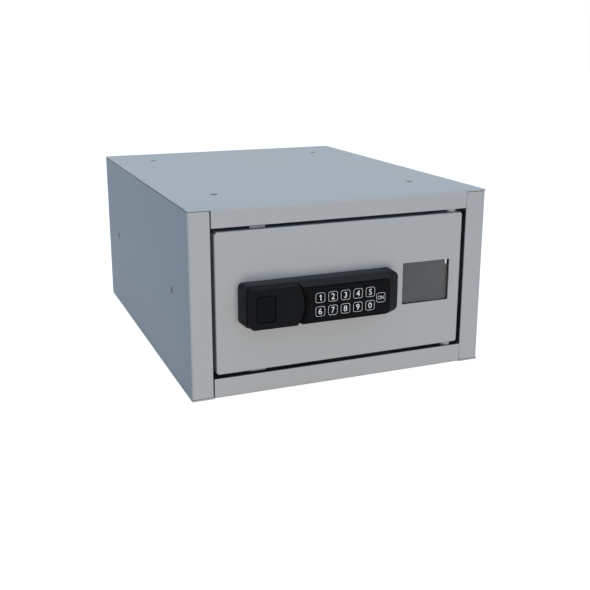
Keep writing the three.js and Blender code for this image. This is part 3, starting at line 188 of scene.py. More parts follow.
# %% [markdown]
# ## Moulded grain
# The lock's black plastic comes out of a mould whose walls were etched, so its skin has a tiny leathery
# grain that takes the shine off. Cells of different sizes give that look: a cell pattern for the pebbles
# and a noise over it so that no two are alike. Rubber, nylon, silicone and the keys' print use it too,
# each with its own values.

# %% Shader group for moulded grain
HAZE_TO_GRAIN = 0.35
PLASTIC_PATCHES_PER_METRE = 60.0


def make_moulded_grain():
    inputs = [
        ("Place", VECTOR, None),
        ("Colour", COLOUR, (0.01, 0.01, 0.01, 1.0)),
        ("Tone spread", FLOAT, 0.1),
        ("Grain size", FLOAT, 0.0004),
        ("Grain depth", FLOAT, 0.00001),
        ("Roughness", FLOAT, 0.5),
        ("Roughness spread", FLOAT, 0.1),
    ]
    tree, given, result = group_of("moulded_grain", inputs, FINISH_OUTPUTS)
    scale = per_metre(tree, given["Grain size"])
    cell_inputs = {"Vector": given["Place"], "Scale": scale}
    cells = put(tree, "ShaderNodeTexVoronoi", cell_inputs, feature="SMOOTH_F1").outputs["Distance"]
    haze = noise_of(tree, given["Place"], maths(tree, scale, HAZE_TO_GRAIN, "MULTIPLY"))
    patches = noise_of(tree, given["Place"], PLASTIC_PATCHES_PER_METRE, detail=3.0)
    pebbles = maths(tree, cells, haze, "MULTIPLY")
    tone = spread_about(tree, 1.0, patches, given["Tone spread"])
    tree.links.new(shaded(tree, given["Colour"], tone), result["Colour"])
    rough = spread_about(tree, given["Roughness"], patches, given["Roughness spread"])
    tree.links.new(rough, result["Roughness"])
    bump = put(tree, "ShaderNodeBump", {"Height": pebbles, "Distance": given["Grain depth"]})
    tree.links.new(bump.outputs["Normal"], result["Normal"])
    return tree


moulded_grain = make_moulded_grain()
print("made the group", moulded_grain.name)

# %% [markdown]
# ## Plated steel
# The bolts, brackets, pins and nuts are steel with a thin bright coat of zinc. It shows the rolling or
# drawing marks of the bar under it as fine streaks, and the bath leaves faint cloudy patches. A noise
# that is stretched along one axis gives streaks, and a broad one gives the patches.

# %% Shader group for plated steel
ZINC_PATCHES_PER_METRE = 90.0
STREAK_TONE = 0.1
STREAK_ROUGHNESS = 0.08


def make_plated_streaks():
    inputs = [
        ("Place", VECTOR, None),
        ("Colour", COLOUR, (0.6, 0.61, 0.62, 1.0)),
        ("Along", VECTOR, (1.0, 1.0, 0.05)),
        ("Streak size", FLOAT, 0.0006),
        ("Streak depth", FLOAT, 0.000008),
        ("Patch strength", FLOAT, 0.12),
        ("Roughness", FLOAT, 0.3),
        ("Roughness spread", FLOAT, 0.16),
    ]
    tree, given, result = group_of("plated_streaks", inputs, FINISH_OUTPUTS)
    ends = {0: given["Place"], 1: given["Along"]}
    stretched = put(tree, "ShaderNodeVectorMath", ends, operation="MULTIPLY").outputs[0]
    streaks = noise_of(tree, stretched, per_metre(tree, given["Streak size"]), detail=3.0)
    patches = noise_of(tree, given["Place"], ZINC_PATCHES_PER_METRE, detail=4.0, roughness=0.6)
    tone = spread_about(tree, 1.0, patches, given["Patch strength"])
    lined = spread_about(tree, tone, streaks, STREAK_TONE)
    tree.links.new(shaded(tree, given["Colour"], lined), result["Colour"])
    rough = spread_about(tree, given["Roughness"], patches, given["Roughness spread"])
    tree.links.new(spread_about(tree, rough, streaks, STREAK_ROUGHNESS), result["Roughness"])
    bump = put(tree, "ShaderNodeBump", {"Height": streaks, "Distance": given["Streak depth"]})
    tree.links.new(bump.outputs["Normal"], result["Normal"])
    return tree


plated_streaks = make_plated_streaks()
print("made the group", plated_streaks.name)

# %% [markdown]
# ## The finishes
# Each finish is one material: a group gives the colour, roughness and relief that change over the
# surface, and the shader's own sockets hold what is the same everywhere, such as how much a plastic
# mirrors. Colours are written as linear light, so the pale paint's 0.4 is the grey that a screen shows
# as 170 of 255. A finish that draws its own colour, such as the circuit board, is given none.

# %% Helper that makes a finish from a group
def finish_from(name, group, colour=None, metallic=0.0, specular=0.5, **values):
    made = bpy.data.materials.new(name)
    made.use_nodes = True
    tree = made.node_tree
    shader = tree.nodes["Principled BSDF"]
    place = put(tree, "ShaderNodeTexCoord").outputs["Object"]
    effect = put(tree, "ShaderNodeGroup", node_tree=group)
    tree.links.new(place, effect.inputs["Place"])
    if colour:
        effect.inputs["Colour"].default_value = (*colour, 1.0)
        tree.links.new(effect.outputs["Colour"], shader.inputs["Base Color"])
    for label, value in values.items():
        effect.inputs[label.replace("_", " ").capitalize()].default_value = value
    tree.links.new(effect.outputs["Roughness"], shader.inputs["Roughness"])
    tree.links.new(effect.outputs["Normal"], shader.inputs["Normal"])
    shader.inputs["Metallic"].default_value = metallic
    shader.inputs["Specular IOR Level"].default_value = specular
    return made


print("groups to choose from:", [group.name for group in bpy.data.node_groups])

# %% Paints, metals and moulded finishes
POWDER = {"group": orange_peel, "specular": 0.15, "roughness": 0.5}
METAL = {"group": plated_streaks, "metallic": 1.0}
MOULDED = {"group": moulded_grain}
FINISHES = {
    "cabinet_paint": {**POWDER, "colour": (0.392, 0.402, 0.413)},
    "door_paint": {**POWDER, "colour": (0.388, 0.400, 0.411)},
    "zinc_steel": {**METAL, "colour": (0.40, 0.41, 0.42)},
    "bolt_steel": {**METAL, "colour": (0.24, 0.245, 0.25), "roughness": 0.42},
    "motor_case": {
        **METAL, "colour": (0.52, 0.52, 0.53), "roughness": 0.24, "along": (0.05, 1.0, 1.0),
    },
    "lock_plastic": {**MOULDED, "colour": (0.0240, 0.0250, 0.0265), "specular": 0.015},
    "knob_plastic": {
        **MOULDED, "colour": (0.0036, 0.0042, 0.0050), "specular": 0.08, "grain_size": 0.0003,
    },
    "keypad_plastic": {
        **MOULDED, "colour": (0.0052, 0.0057, 0.0064), "specular": 0.035, "grain_size": 0.0003,
    },
    "black_rubber": {
        **MOULDED, "colour": (0.012, 0.012, 0.013), "specular": 0.2, "roughness": 0.75,
        "grain_size": 0.0006,
    },
    "nylon": {**MOULDED, "colour": (0.29, 0.305, 0.32), "specular": 0.3, "tone_spread": 0.04},
    "silicone": {
        **MOULDED, "colour": (0.21, 0.215, 0.215), "specular": 0.3, "roughness": 0.6,
        "tone_spread": 0.05,
    },
    "white_print": {
        **MOULDED, "colour": (0.74, 0.75, 0.76), "specular": 0.2, "roughness": 0.5,
        "tone_spread": 0.06,
    },
}
finishes = {name: finish_from(name, **values) for name, values in FINISHES.items()}
print("made", len(finishes), "finishes:", ", ".join(finishes))

# %% [markdown]
# ## The housing's painted light and shade
# The lock housing's sides don't look alike in the photograph, and that is painted into its one plastic as
# light and shade. Its flat face gets painted shade, as dark as the keypad in it. Its level top gets a
# painted sheen and is the lightest, the left side gets painted light and comes next, and the slope at
# the right end gets painted shade, a little darker than the slopes above and below. Each lies at a known
# height along one axis, so that height is mask enough: near it the side's own painted tone takes over.

# %% Paint light and shade on the housing's sides
# Scales the colour near one height along an axis: painted shade below 1, painted light and sheen above 1.
def paint_light_and_shade_on_side(material, axis, full_at, none_at, tone):
    tree = material.node_tree
    shader = tree.nodes["Principled BSDF"]
    place = tree.nodes["Texture Coordinate"].outputs["Object"]
    height = put(tree, "ShaderNodeSeparateXYZ", {0: place}).outputs[axis]
    limits = {"Value": height, "From Min": full_at, "From Max": none_at, "To Min": tone}
    near = put(tree, "ShaderNodeMapRange", limits).outputs["Result"]
    plain = shader.inputs["Base Color"].links[0].from_socket
    tree.links.new(shaded(tree, plain, near), shader.inputs["Base Color"])


housing_low, housing_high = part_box("lock_housing")
# The last value of each side is its painted tone: the flat face and right slope get painted shade, the top
# a painted sheen, the left side painted light.
HOUSING_PAINTED_LIGHT_AND_SHADE = {
    "flat face": ("Y", housing_low.y + 0.1 * MM, housing_low.y + 0.2 * MM, 0.27),
    "level top": ("Z", housing_high.z - 0.15 * MM, housing_high.z - 0.4 * MM, 2.4),
    "left side": ("X", housing_low.x + 0.15 * MM, housing_low.x + 0.4 * MM, 1.5),
    "right slope": ("X", housing_high.x - 12.5 * MM, housing_high.x - 13.5 * MM, 0.7),
}
for axis, full_at, none_at, tone in HOUSING_PAINTED_LIGHT_AND_SHADE.values():
    paint_light_and_shade_on_side(finishes["lock_plastic"], axis, full_at, none_at, tone)
print("tones:", {side: values[-1] for side, values in HOUSING_PAINTED_LIGHT_AND_SHADE.items()})

# %% [markdown]
# ## The clear window
# The pane is a sheet of clear plastic. It bends light about as much as window glass does and mirrors
# about a twenty-fifth of the light on each face. In front of a dark cabinet that reflection is nearly
# all one sees, so the window looks an even grey. Faint smears change the roughness and, very little,
# the tint.

# %% The clear window
PANE_BENDS_LIGHT = 1.49
SMEARS_PER_METRE = 140.0
PANE_TINTS = ((0.94, 0.92, 0.90, 1.0), (0.96, 0.94, 0.92, 1.0))
PANE_ROUGHNESS = 0.02
SMEAR_ROUGHNESS = 0.03


def make_window_clear():
    made = bpy.data.materials.new("window_clear")
    made.use_nodes = True
    tree = made.node_tree
    shader = tree.nodes["Principled BSDF"]
    place = put(tree, "ShaderNodeTexCoord").outputs["Object"]
    smears = noise_of(tree, place, SMEARS_PER_METRE, detail=4.0, roughness=0.6)
    rough = spread_about(tree, PANE_ROUGHNESS, smears, SMEAR_ROUGHNESS)
    tree.links.new(rough, shader.inputs["Roughness"])
    tint = put(tree, "ShaderNodeValToRGB", {"Fac": smears})
    for stop, colour in zip(tint.color_ramp.elements, PANE_TINTS):
        stop.color = colour
    tree.links.new(tint.outputs["Color"], shader.inputs["Base Color"])
    shader.inputs["IOR"].default_value = PANE_BENDS_LIGHT
    shader.inputs["Transmission Weight"].default_value = 1.0
    return made


finishes["window_clear"] = make_window_clear()
print("made the window's finish, which bends light by", PANE_BENDS_LIGHT)

# %% [markdown]
# ## The circuit board and the cells
# These sit inside the lock and are seen only when it is taken apart. The board is green lacquer over
# copper tracks, drawn as a fine brick pattern. Each cell has a plain printed sleeve: a wide dark band and
# a lighter one at the positive end, found from the place along the cell, so no lettering is needed.

# %% The circuit board and the cells
BOARD_GREENS = ((0.010, 0.075, 0.026, 1.0), (0.014, 0.100, 0.036, 1.0))
TRACK_GREEN = (0.030, 0.190, 0.070, 1.0)
TRACKS_PER_METRE = 90.0
TRACK_WIDTH = 0.012
SLEEVE_DARK = (0.025, 0.04, 0.08, 1.0)
SLEEVE_PALE = (0.35, 0.36, 0.37, 1.0)
PALE_BAND_FROM = 0.72


def make_circuit_board():
    made = finish_from("circuit_board", moulded_grain, specular=0.5, roughness=0.3)
    tree = made.node_tree
    shader = tree.nodes["Principled BSDF"]
    place = tree.nodes["Texture Coordinate"].outputs["Object"]
    turned = put(tree, "ShaderNodeMapping", {"Vector": place, "Rotation": QUARTER_TURN}).outputs[0]
    tracks = put(tree, "ShaderNodeTexBrick", {"Vector": turned, "Scale": TRACKS_PER_METRE})
    tracks.inputs["Color1"].default_value, tracks.inputs["Color2"].default_value = BOARD_GREENS
    tracks.inputs["Mortar"].default_value = TRACK_GREEN
    tracks.inputs["Mortar Size"].default_value = TRACK_WIDTH
    tree.links.new(tracks.outputs["Color"], shader.inputs["Base Color"])
    return made


def make_battery_sleeve(band_from, band_to):
    made = finish_from("battery", moulded_grain, specular=0.5, roughness=0.28)
    tree = made.node_tree
    shader = tree.nodes["Principled BSDF"]
    place = tree.nodes["Texture Coordinate"].outputs["Object"]
    along = put(tree, "ShaderNodeSeparateXYZ", {0: place}).outputs["X"]
    limits = {"Value": along, "From Min": band_from, "From Max": band_to}
    share = put(tree, "ShaderNodeMapRange", limits).outputs["Result"]
    sleeve = put(tree, "ShaderNodeValToRGB", {"Fac": share})
    sleeve.color_ramp.interpolation = "CONSTANT"
    dark, pale = sleeve.color_ramp.elements
    dark.color = SLEEVE_DARK
    pale.color = SLEEVE_PALE
    pale.position = PALE_BAND_FROM
    tree.links.new(sleeve.outputs["Color"], shader.inputs["Base Color"])
    return made


cell_low, cell_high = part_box("battery_upper")
finishes["circuit_board"] = make_circuit_board()
finishes["battery"] = make_battery_sleeve(cell_low.x, cell_high.x)
print("cell length", round((cell_high.x - cell_low.x) / MM, 2), "mm")

# %% [markdown]
# ## Dressing a solid
# A CAD solid has knife-sharp edges, and no real edge is that sharp: folded sheet, moulded plastic and cut
# bar all catch a thin line of light. So each solid is copied, its loose triangles are joined, and the
# triangles that lie in one plane become one face. Then a bevel rounds every outward edge that turns by
# more than a limit, while the curved walls, which turn only a little at each facet, are left to smooth
# shading. Inward corners stay crisp, as they do where two walls meet. The normals are weighted by face
# area at the end, so large flat faces look flat right up to their rounded edges.

# %% Helpers that dress a solid
MERGE_DISTANCE = 0.002 * MM
SAME_PLANE = math.radians(0.5)
EDGE_TURN = math.radians(35.0)
ROUNDING_STEPS = 2


def new_piece(name, mesh, finish):
    mesh.materials.clear()
    mesh.materials.append(finish)
    piece = bpy.data.objects.new(name, mesh)
    bpy.context.scene.collection.objects.link(piece)
    return piece


def make_plain(piece):
    """Turns what the modifiers show into the piece's own mesh."""
    seen = piece.evaluated_get(bpy.context.evaluated_depsgraph_get())
    result = bpy.data.meshes.new_from_object(seen)
    piece.modifiers.clear()
    piece.data = result
    return piece


def joined_copy(node):
    mesh = frame["nodes"][node].data.copy()
    shape = bmesh.new()
    shape.from_mesh(mesh)
    bmesh.ops.remove_doubles(shape, verts=shape.verts, dist=MERGE_DISTANCE)
    bmesh.ops.dissolve_limit(
        shape, angle_limit=SAME_PLANE, verts=shape.verts, edges=shape.edges
    )
    to_round = shape.edges.layers.float.new("bevel_weight_edge")
    for face in shape.faces:
        face.smooth = True
    for edge in shape.edges:
        turn = edge.calc_face_angle_signed(0.0)
        edge[to_round] = 1.0 if turn > EDGE_TURN else 0.0
        edge.smooth = turn > -EDGE_TURN
    shape.to_mesh(mesh)
    shape.free()
    return mesh


def add_rounding(piece, width):
    bevel = piece.modifiers.new("rounded_edges", "BEVEL")
    bevel.limit_method = "WEIGHT"
    bevel.width = width
    bevel.segments = ROUNDING_STEPS
    bevel.use_clamp_overlap = False
    flat = piece.modifiers.new("flat_faces_look_flat", "WEIGHTED_NORMAL")
    flat.keep_sharp = True


def dressed(node, finish, width):
    piece = new_piece(f"{node}_dressed", joined_copy(node), finish)
    add_rounding(piece, width)
    return make_plain(piece)


print("edges that turn by more than", round(math.degrees(EDGE_TURN)), "degrees are rounded")

# %% [markdown]
# ## Which piece rides on what
# The record that came with the solids says on which body each node rides and which finish it has. Both
# are read from it, so a dressed copy can't end up on the wrong body. The knob and the bolts look unlike
# their neighbours in the photograph, so their copies get a darker plastic and a duller steel. Cut sheet
# edges get a round of a quarter of a millimetre, and keys and gear teeth a finer one. Nuts and screws are
# left out here, because they are made anew further on.

# %% Dress the solids
bodies = frame["record"]["behaviour"]["bodies"]
body_of_node = {node: body for body, nodes in bodies.items() for node in nodes}
slot_of_node = {part["node"]: part["material_slot"] for part in frame["record"]["subparts"]}

USUAL_EDGE = 0.25 * MM
KEY_EDGE = 0.15 * MM
EDGE_OF_NODE = {
    "lock_housing": 0.3 * MM,
    "knob": 0.15 * MM,
    "knob_insert": 0.2 * MM,
    "keypad_plate": 0.2 * MM,
    "lock_backplate": 0.3 * MM,
    "window_gasket": 0.4 * MM,
    "window_pane": 0.2 * MM,
    "upper_bolt": 0.12 * MM,
    "lower_bolt": 0.12 * MM,
    "drive_pinion": 0.12 * MM,
    "circuit_board": 0.1 * MM,
    "keypad_mat": 0.2 * MM,
    "battery_tray": 0.2 * MM,
}
OWN_FINISH = {"knob": "knob_plastic", "upper_bolt": "bolt_steel", "lower_bolt": "bolt_steel"}
INK = 0.03 * MM
FASTENERS = [node for node in frame["nodes"] if "_nut" in node or node.startswith("lock_screw")]


def make_room_for_ink(piece, front):
    """Sets a key's front face back by the thickness of its print."""
    for vertex in piece.data.vertices:
        vertex.co.y = max(vertex.co.y, front + INK)


def attach(piece, body, slot, *nodes):
    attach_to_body(piece, body)
    if nodes:
        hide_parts(*nodes)
    return piece


dressed_pieces = []
for node in frame["nodes"]:
    if node in FASTENERS:
        continue
    slot = slot_of_node[node]
    is_key = node.startswith("key_")
    edge_width = KEY_EDGE if is_key else EDGE_OF_NODE.get(node, USUAL_EDGE)
    piece = dressed(node, finishes[OWN_FINISH.get(node, slot)], edge_width)
    if is_key:
        make_room_for_ink(piece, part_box(node)[0].y)
    dressed_pieces.append(attach(piece, body_of_node[node], slot, node))
face_count = sum(len(piece.data.polygons) for piece in dressed_pieces)
print("dressed", len(dressed_pieces), "solids,", face_count, "faces")

# %% [markdown]
# ## Nuts
# The window, the bolt cover and the spindle are held by six-sided nuts. A real nut is a hexagon bar
# turned on a lathe: its corners are cut back by a cone on each face, and a thread runs through it. The
# same is done here with solids in a geometry tree: a hexagon, cut by two cones, less a bore. The cones
# widen by 1.73 for each unit of height, so they leave the usual slope of 30 degrees. The tree puts one
# nut on each point that it is given, so six nuts on the door are one piece of work.

# %% Geometry tree for nuts
LENGTH, GEOMETRY, MATERIAL = "NodeSocketFloat", "NodeSocketGeometry", "NodeSocketMaterial"
CYLINDER, TRANSFORM = "GeometryNodeMeshCylinder", "GeometryNodeTransform"
NUT_SIDES = 6
CONE_RUN = 1.73
CONE_SIDES = 48
BORE_SIDES = 32


def cut(tree, operation, first, others):
    solver = put(tree, "GeometryNodeMeshBoolean", operation=operation, solver="EXACT")
    if first is not None:
        tree.links.new(first, solver.inputs["Mesh 1"])
    for other in others:
        tree.links.new(other, solver.inputs["Mesh 2"])
    return solver.outputs["Mesh"]


def moved_up(tree, geometry, height):
    place = put(tree, "ShaderNodeCombineXYZ", {"Z": height}).outputs[0]
    return put(tree, TRANSFORM, {"Geometry": geometry, "Translation": place}).outputs[0]


def cylinder(tree, sides, radius, height):
    return put(tree, CYLINDER, {"Vertices": sides, "Radius": radius, "Depth": height}).outputs["Mesh"]


def cone(tree, top, bottom, height):
    sizes = {"Vertices": CONE_SIDES, "Radius Top": top, "Radius Bottom": bottom, "Depth": height}
    return put(tree, "GeometryNodeMeshCone", sizes).outputs["Mesh"]


def finish_tree(tree, given, result, shape):
    """Puts the shape on every point, facing the door's back, and gives it its finish."""
    wanted = {"Points": given["Points"], "Instance": shape, "Rotation": QUARTER_TURN}
    copies = put(tree, "GeometryNodeInstanceOnPoints", wanted).outputs[0]
    real = put(tree, "GeometryNodeRealizeInstances", {"Geometry": copies}).outputs[0]
    finished = put(tree, "GeometryNodeSetMaterial", {"Geometry": real, "Material": given["Finish"]})
    tree.links.new(finished.outputs[0], result["Geometry"])


def make_nut_tree():
    inputs = [
        ("Points", GEOMETRY, None),
        ("Corner radius", LENGTH, 0.0032),
        ("Height", LENGTH, 0.0024),
        ("Bore radius", LENGTH, 0.0017),
        ("Corner cut", LENGTH, 0.0003),
        ("Finish", MATERIAL, None),
    ]
    outputs = [("Geometry", GEOMETRY)]
    tree, given, result = group_of("hexagon_nut", inputs, outputs, "GeometryNodeTree")
    radius, height = given["Corner radius"], given["Height"]
    bar = cylinder(tree, NUT_SIDES, radius, height)
    small_end = maths(tree, radius, given["Corner cut"], "SUBTRACT")
    big_end = maths(tree, small_end, maths(tree, height, CONE_RUN, "MULTIPLY"))
    middle = maths(tree, height, -0.5, "MULTIPLY")
    up = moved_up(tree, cone(tree, small_end, big_end, height), middle)
    down = moved_up(tree, cone(tree, big_end, small_end, height), middle)
    turned = cut(tree, "INTERSECT", None, [bar, up, down])
    bore = cylinder(tree, BORE_SIDES, given["Bore radius"], maths(tree, height, 2.0, "MULTIPLY"))
    finish_tree(tree, given, result, cut(tree, "DIFFERENCE", turned, [bore]))
    return tree


nut_tree = make_nut_tree()
print("made the tree", nut_tree.name)

# %% Helper that runs a geometry tree on a set of points
def grown_from_points(name, tree, points, finish, **sizes):
    mesh = bpy.data.meshes.new(name)
    mesh.from_pydata([tuple(point) for point in points], [], [])
    piece = bpy.data.objects.new(name, mesh)
    bpy.context.scene.collection.objects.link(piece)
    nodes = piece.modifiers.new(tree.name, "NODES")
    nodes.node_group = tree
    sockets = [socket for socket in tree.interface.items_tree if socket.in_out == "INPUT"]
    place_of = {socket.name: socket.identifier for socket in sockets}
    nodes[place_of["Finish"]] = finish
    for label, value in sizes.items():
        nodes[place_of[label.replace("_", " ").capitalize()]] = value
    return make_plain(piece)


def middle_of(node):
    low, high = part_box(node)
    return (low + high) / 2


print("fasteners to make:", ", ".join(FASTENERS))

# %% Nuts on the door and on the spindle
door_nuts = [node for node in FASTENERS if node != "spindle_nut" and "_nut" in node]
nut_low, nut_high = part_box(door_nuts[0])
nut_size = nut_high - nut_low
door_nut_piece = grown_from_points(
    "door_nuts", nut_tree, [middle_of(node) for node in door_nuts], finishes["zinc_steel"],
    corner_radius=nut_size.x / 2, height=nut_size.y, bore_radius=1.72 * MM, corner_cut=0.35 * MM,
)
attach(door_nut_piece, "door", "zinc_steel", *door_nuts)

big_low, big_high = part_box("spindle_nut")
big_size = big_high - big_low
spindle_nut_piece = grown_from_points(
    "spindle_nut_turned", nut_tree, [middle_of("spindle_nut")], finishes["zinc_steel"],
    corner_radius=big_size.x / 2, height=big_size.y, bore_radius=4.02 * MM, corner_cut=0.7 * MM,
)
attach(spindle_nut_piece, "knob", "zinc_steel", "spindle_nut")
nut_faces = len(door_nut_piece.data.polygons)
print("nut across its corners", round(nut_size.x / MM, 2), "mm, faces", nut_faces)

# %% [markdown]
# ## Lock screws
# Three screws go through the door from behind and hold the lock. Only their heads show, low domes with a
# cross pressed into them. A ball that is squashed and cut by a short cylinder makes the dome, and two
# crossed bars cut the recess. The shank is a plain cylinder, because it is out of sight in its post.

# %% Geometry tree for the screws
DOME_OVER_HEAD = 1.03
CROSS_OVER_HEAD = 1.05
HEAD_SIDES = 48
HEAD_RINGS = 24
SHANK_SIDES = 32


def make_screw_tree():
    inputs = [
        ("Points", GEOMETRY, None),
        ("Head radius", LENGTH, 0.0030),
        ("Head height", LENGTH, 0.0024),
        ("Shank radius", LENGTH, 0.0015),
        ("Shank length", LENGTH, 0.01),
        ("Recess width", LENGTH, 0.0008),
        ("Recess depth", LENGTH, 0.0013),
        ("Finish", MATERIAL, None),
    ]
    outputs = [("Geometry", GEOMETRY)]
    tree, given, result = group_of("cross_screw", inputs, outputs, "GeometryNodeTree")
    radius, height = given["Head radius"], given["Head height"]
    ball_sizes = {"Segments": HEAD_SIDES, "Rings": HEAD_RINGS, "Radius": 1.0}
    ball = put(tree, "GeometryNodeMeshUVSphere", ball_sizes).outputs["Mesh"]
    wide = maths(tree, radius, DOME_OVER_HEAD, "MULTIPLY")
    squashed = put(tree, "ShaderNodeCombineXYZ", {"X": wide, "Y": wide, "Z": height}).outputs[0]
    dome = put(tree, TRANSFORM, {"Geometry": ball, "Scale": squashed}).outputs[0]
    collar = cylinder(tree, HEAD_SIDES, radius, height)
    raised = moved_up(tree, collar, maths(tree, height, 0.5, "MULTIPLY"))
    head = cut(tree, "INTERSECT", None, [dome, raised])
    width, depth = given["Recess width"], given["Recess depth"]
    long_side = maths(tree, radius, CROSS_OVER_HEAD, "MULTIPLY")
    deep = maths(tree, depth, 2.0, "MULTIPLY")
    bars = []
    for x, y in ((long_side, width), (width, long_side)):
        size = put(tree, "ShaderNodeCombineXYZ", {"X": x, "Y": y, "Z": deep}).outputs[0]
        bar = put(tree, "GeometryNodeMeshCube", {"Size": size}).outputs["Mesh"]
        bars.append(moved_up(tree, bar, height))
    recessed = cut(tree, "DIFFERENCE", head, bars)
    length = given["Shank length"]
    shank = cylinder(tree, SHANK_SIDES, given["Shank radius"], length)
    lowered = moved_up(tree, shank, maths(tree, length, -0.5, "MULTIPLY"))
    whole = put(tree, "GeometryNodeJoinGeometry")
    for part in (recessed, lowered):
        tree.links.new(part, whole.inputs[0])
    turned_round = put(tree, TRANSFORM, {"Geometry": whole.outputs[0], "Rotation": HALF_TURN})
    finish_tree(tree, given, result, turned_round.outputs[0])
    return tree


screw_tree = make_screw_tree()
print("made the tree", screw_tree.name)

# %% The three lock screws
HEAD_HEIGHT = 2.4 * MM
screws = [node for node in FASTENERS if node.startswith("lock_screw")]
seats = []
for node in screws:
    low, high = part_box(node)
    seats.append(Vector(((low.x + high.x) / 2, high.y - HEAD_HEIGHT, (low.z + high.z) / 2)))
screw_low, screw_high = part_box(screws[0])
screw_piece = grown_from_points(
    "lock_screws", screw_tree, seats, finishes["zinc_steel"],
    head_radius=(screw_high.x - screw_low.x) / 2, head_height=HEAD_HEIGHT,
    shank_radius=1.5 * MM, shank_length=screw_high.y - screw_low.y - HEAD_HEIGHT,
)
attach(screw_piece, "door", "zinc_steel", *screws)
print("screws", len(screws), "faces", len(screw_piece.data.polygons))

# %% [markdown]
# ## The printed keys
# Each key is printed in white with a rounded outline near its edge and its digit in the middle. The
# print is a film of ink, so it is made as a very thin raised shape and not as a picture. The outline
# follows a rule, a rectangle with filleted corners swept by a flat stroke, so a geometry tree makes it
# from its width, height, corner and stroke. The digits come from Blender's own font, scaled to their
# height, with the strokes a little thinner. The real 1 has no foot, so its few corners are drawn here.
# Each is first made with some thickness, which is then scaled to the ink's.

# %% Geometry tree for the key outlines
CORNER_STEPS = 8


def make_outline_tree():
    inputs = [
        ("Points", GEOMETRY, None),
        ("Width", LENGTH, 0.009),
        ("Height", LENGTH, 0.0091),
        ("Corner", LENGTH, 0.002),
        ("Stroke", LENGTH, 0.00030),
        ("Ink", LENGTH, 0.00003),
        ("Finish", MATERIAL, None),
    ]
    outputs = [("Geometry", GEOMETRY)]
    tree, given, result = group_of("key_outline", inputs, outputs, "GeometryNodeTree")
    rectangle = "GeometryNodeCurvePrimitiveQuadrilateral"
    line = put(tree, rectangle, {"Width": given["Width"], "Height": given["Height"]}).outputs[0]
    corners = {"Curve": line, "Radius": given["Corner"], "Count": CORNER_STEPS}
    rounded_line = put(tree, "GeometryNodeFilletCurve", corners, mode="POLY").outputs[0]
    stroke = put(tree, rectangle, {"Width": given["Stroke"], "Height": given["Ink"]}).outputs[0]
    ends = {"Curve": rounded_line, "Profile Curve": stroke}
    swept = put(tree, "GeometryNodeCurveToMesh", ends).outputs[0]
    finish_tree(tree, given, result, swept)
    return tree


outline_tree = make_outline_tree()
print("made the tree", outline_tree.name)

# %% Digits and outlines, one print for each key
DIGIT_HEIGHT = 5.5 * MM
WORD_SIZE = (6.0 * MM, 3.5 * MM)
WORD_THINNED = -0.008
DIGIT_THINNED = -0.002
DRAWN_THICKNESS = 0.05
ONE_CORNERS = (
    (0.20, 0.0), (0.36, 0.0), (0.36, 1.0), (0.24, 1.0), (0.0, 0.80), (0.0, 0.66), (0.20, 0.78),
)


def drawn_one():
    """A 1 without a foot: a filled outline of seven corners."""
    curve = bpy.data.curves.new("drawn_one", "CURVE")
    curve.dimensions = "2D"
    curve.fill_mode = "BOTH"
    line = curve.splines.new("POLY")
    line.points.add(len(ONE_CORNERS) - 1)
    for point, (x, y) in zip(line.points, ONE_CORNERS):
        point.co = (x, y, 0.0, 1.0)
    line.use_cyclic_u = True
    return curve


def written(text):
    curve = bpy.data.curves.new(f"lettering_{text}", "FONT")
    curve.body = text
    curve.offset = WORD_THINNED if len(text) > 1 else DIGIT_THINNED
    return curve


def lettering(text, width, height):
    """The text as a film of ink in the x-z plane, facing the front, centred on the origin."""
    curve = drawn_one() if text == "1" else written(text)
    curve.extrude = DRAWN_THICKNESS
    writer = bpy.data.objects.new(curve.name, curve)
    bpy.context.scene.collection.objects.link(writer)
    seen = writer.evaluated_get(bpy.context.evaluated_depsgraph_get())
    mesh = bpy.data.meshes.new_from_object(seen)
    bpy.data.objects.remove(writer)
    low = Vector([min(vertex.co[axis] for vertex in mesh.vertices) for axis in range(3)])
    high = Vector([max(vertex.co[axis] for vertex in mesh.vertices) for axis in range(3)])
    up = height / (high.y - low.y)
    across = width / (high.x - low.x) if width else up
    mesh.transform(Matrix.Translation(-(low + high) / 2))
    mesh.transform(Matrix.Diagonal((across, up, INK / (high.z - low.z), 1.0)))
    mesh.transform(Matrix.Rotation(math.radians(90.0), 4, "X"))
    return mesh


def printed_key(node):
    low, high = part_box(node)
    face = Vector(((low.x + high.x) / 2, low.y + INK / 2, (low.z + high.z) / 2))
    piece = grown_from_points(
        f"{node}_print", outline_tree, [face], finishes["white_print"], ink=INK
    )
    label = node.removeprefix("key_").upper()
    width, height = WORD_SIZE if label == "ON" else (None, DIGIT_HEIGHT)
    word = lettering(label, width, height)
    word.transform(Matrix.Translation(face))
    both = bmesh.new()
    both.from_mesh(piece.data)
    both.from_mesh(word)
    bmesh.ops.remove_doubles(both, verts=both.verts, dist=MERGE_DISTANCE)
    bmesh.ops.recalc_face_normals(both, faces=both.faces)
    for inked in both.faces:
        inked.material_index = 0
    both.to_mesh(piece.data)
    both.free()
    return attach(piece, body_of_node[node], "keypad_plastic")


keys = [node for node in frame["nodes"] if node.startswith("key_")]
prints = [printed_key(node) for node in keys]
print("printed", len(prints), "keys")

# %% [markdown]
# ## Ground and light
# In the photograph the top is a little brighter and bluer than the front, the left side is much darker
# and bluer, and the lock darkens the door above itself and not below. So three soft lights are enough: a
# dim bluish sky all round, a lamp overhead for the top, and a slightly warm lamp low in front, as if the
# safe stood on a light table. For that the floor lets the lamp's light through. The camera, mirrors and
# glass see the sky as plain white, and to them the floor glows as well, so it shows as white and only
# the soft shadow near the cabinet is darker. The lamps themselves leave no mirror image.

# %% Sky
SKY = (0.322, 0.475, 0.645)


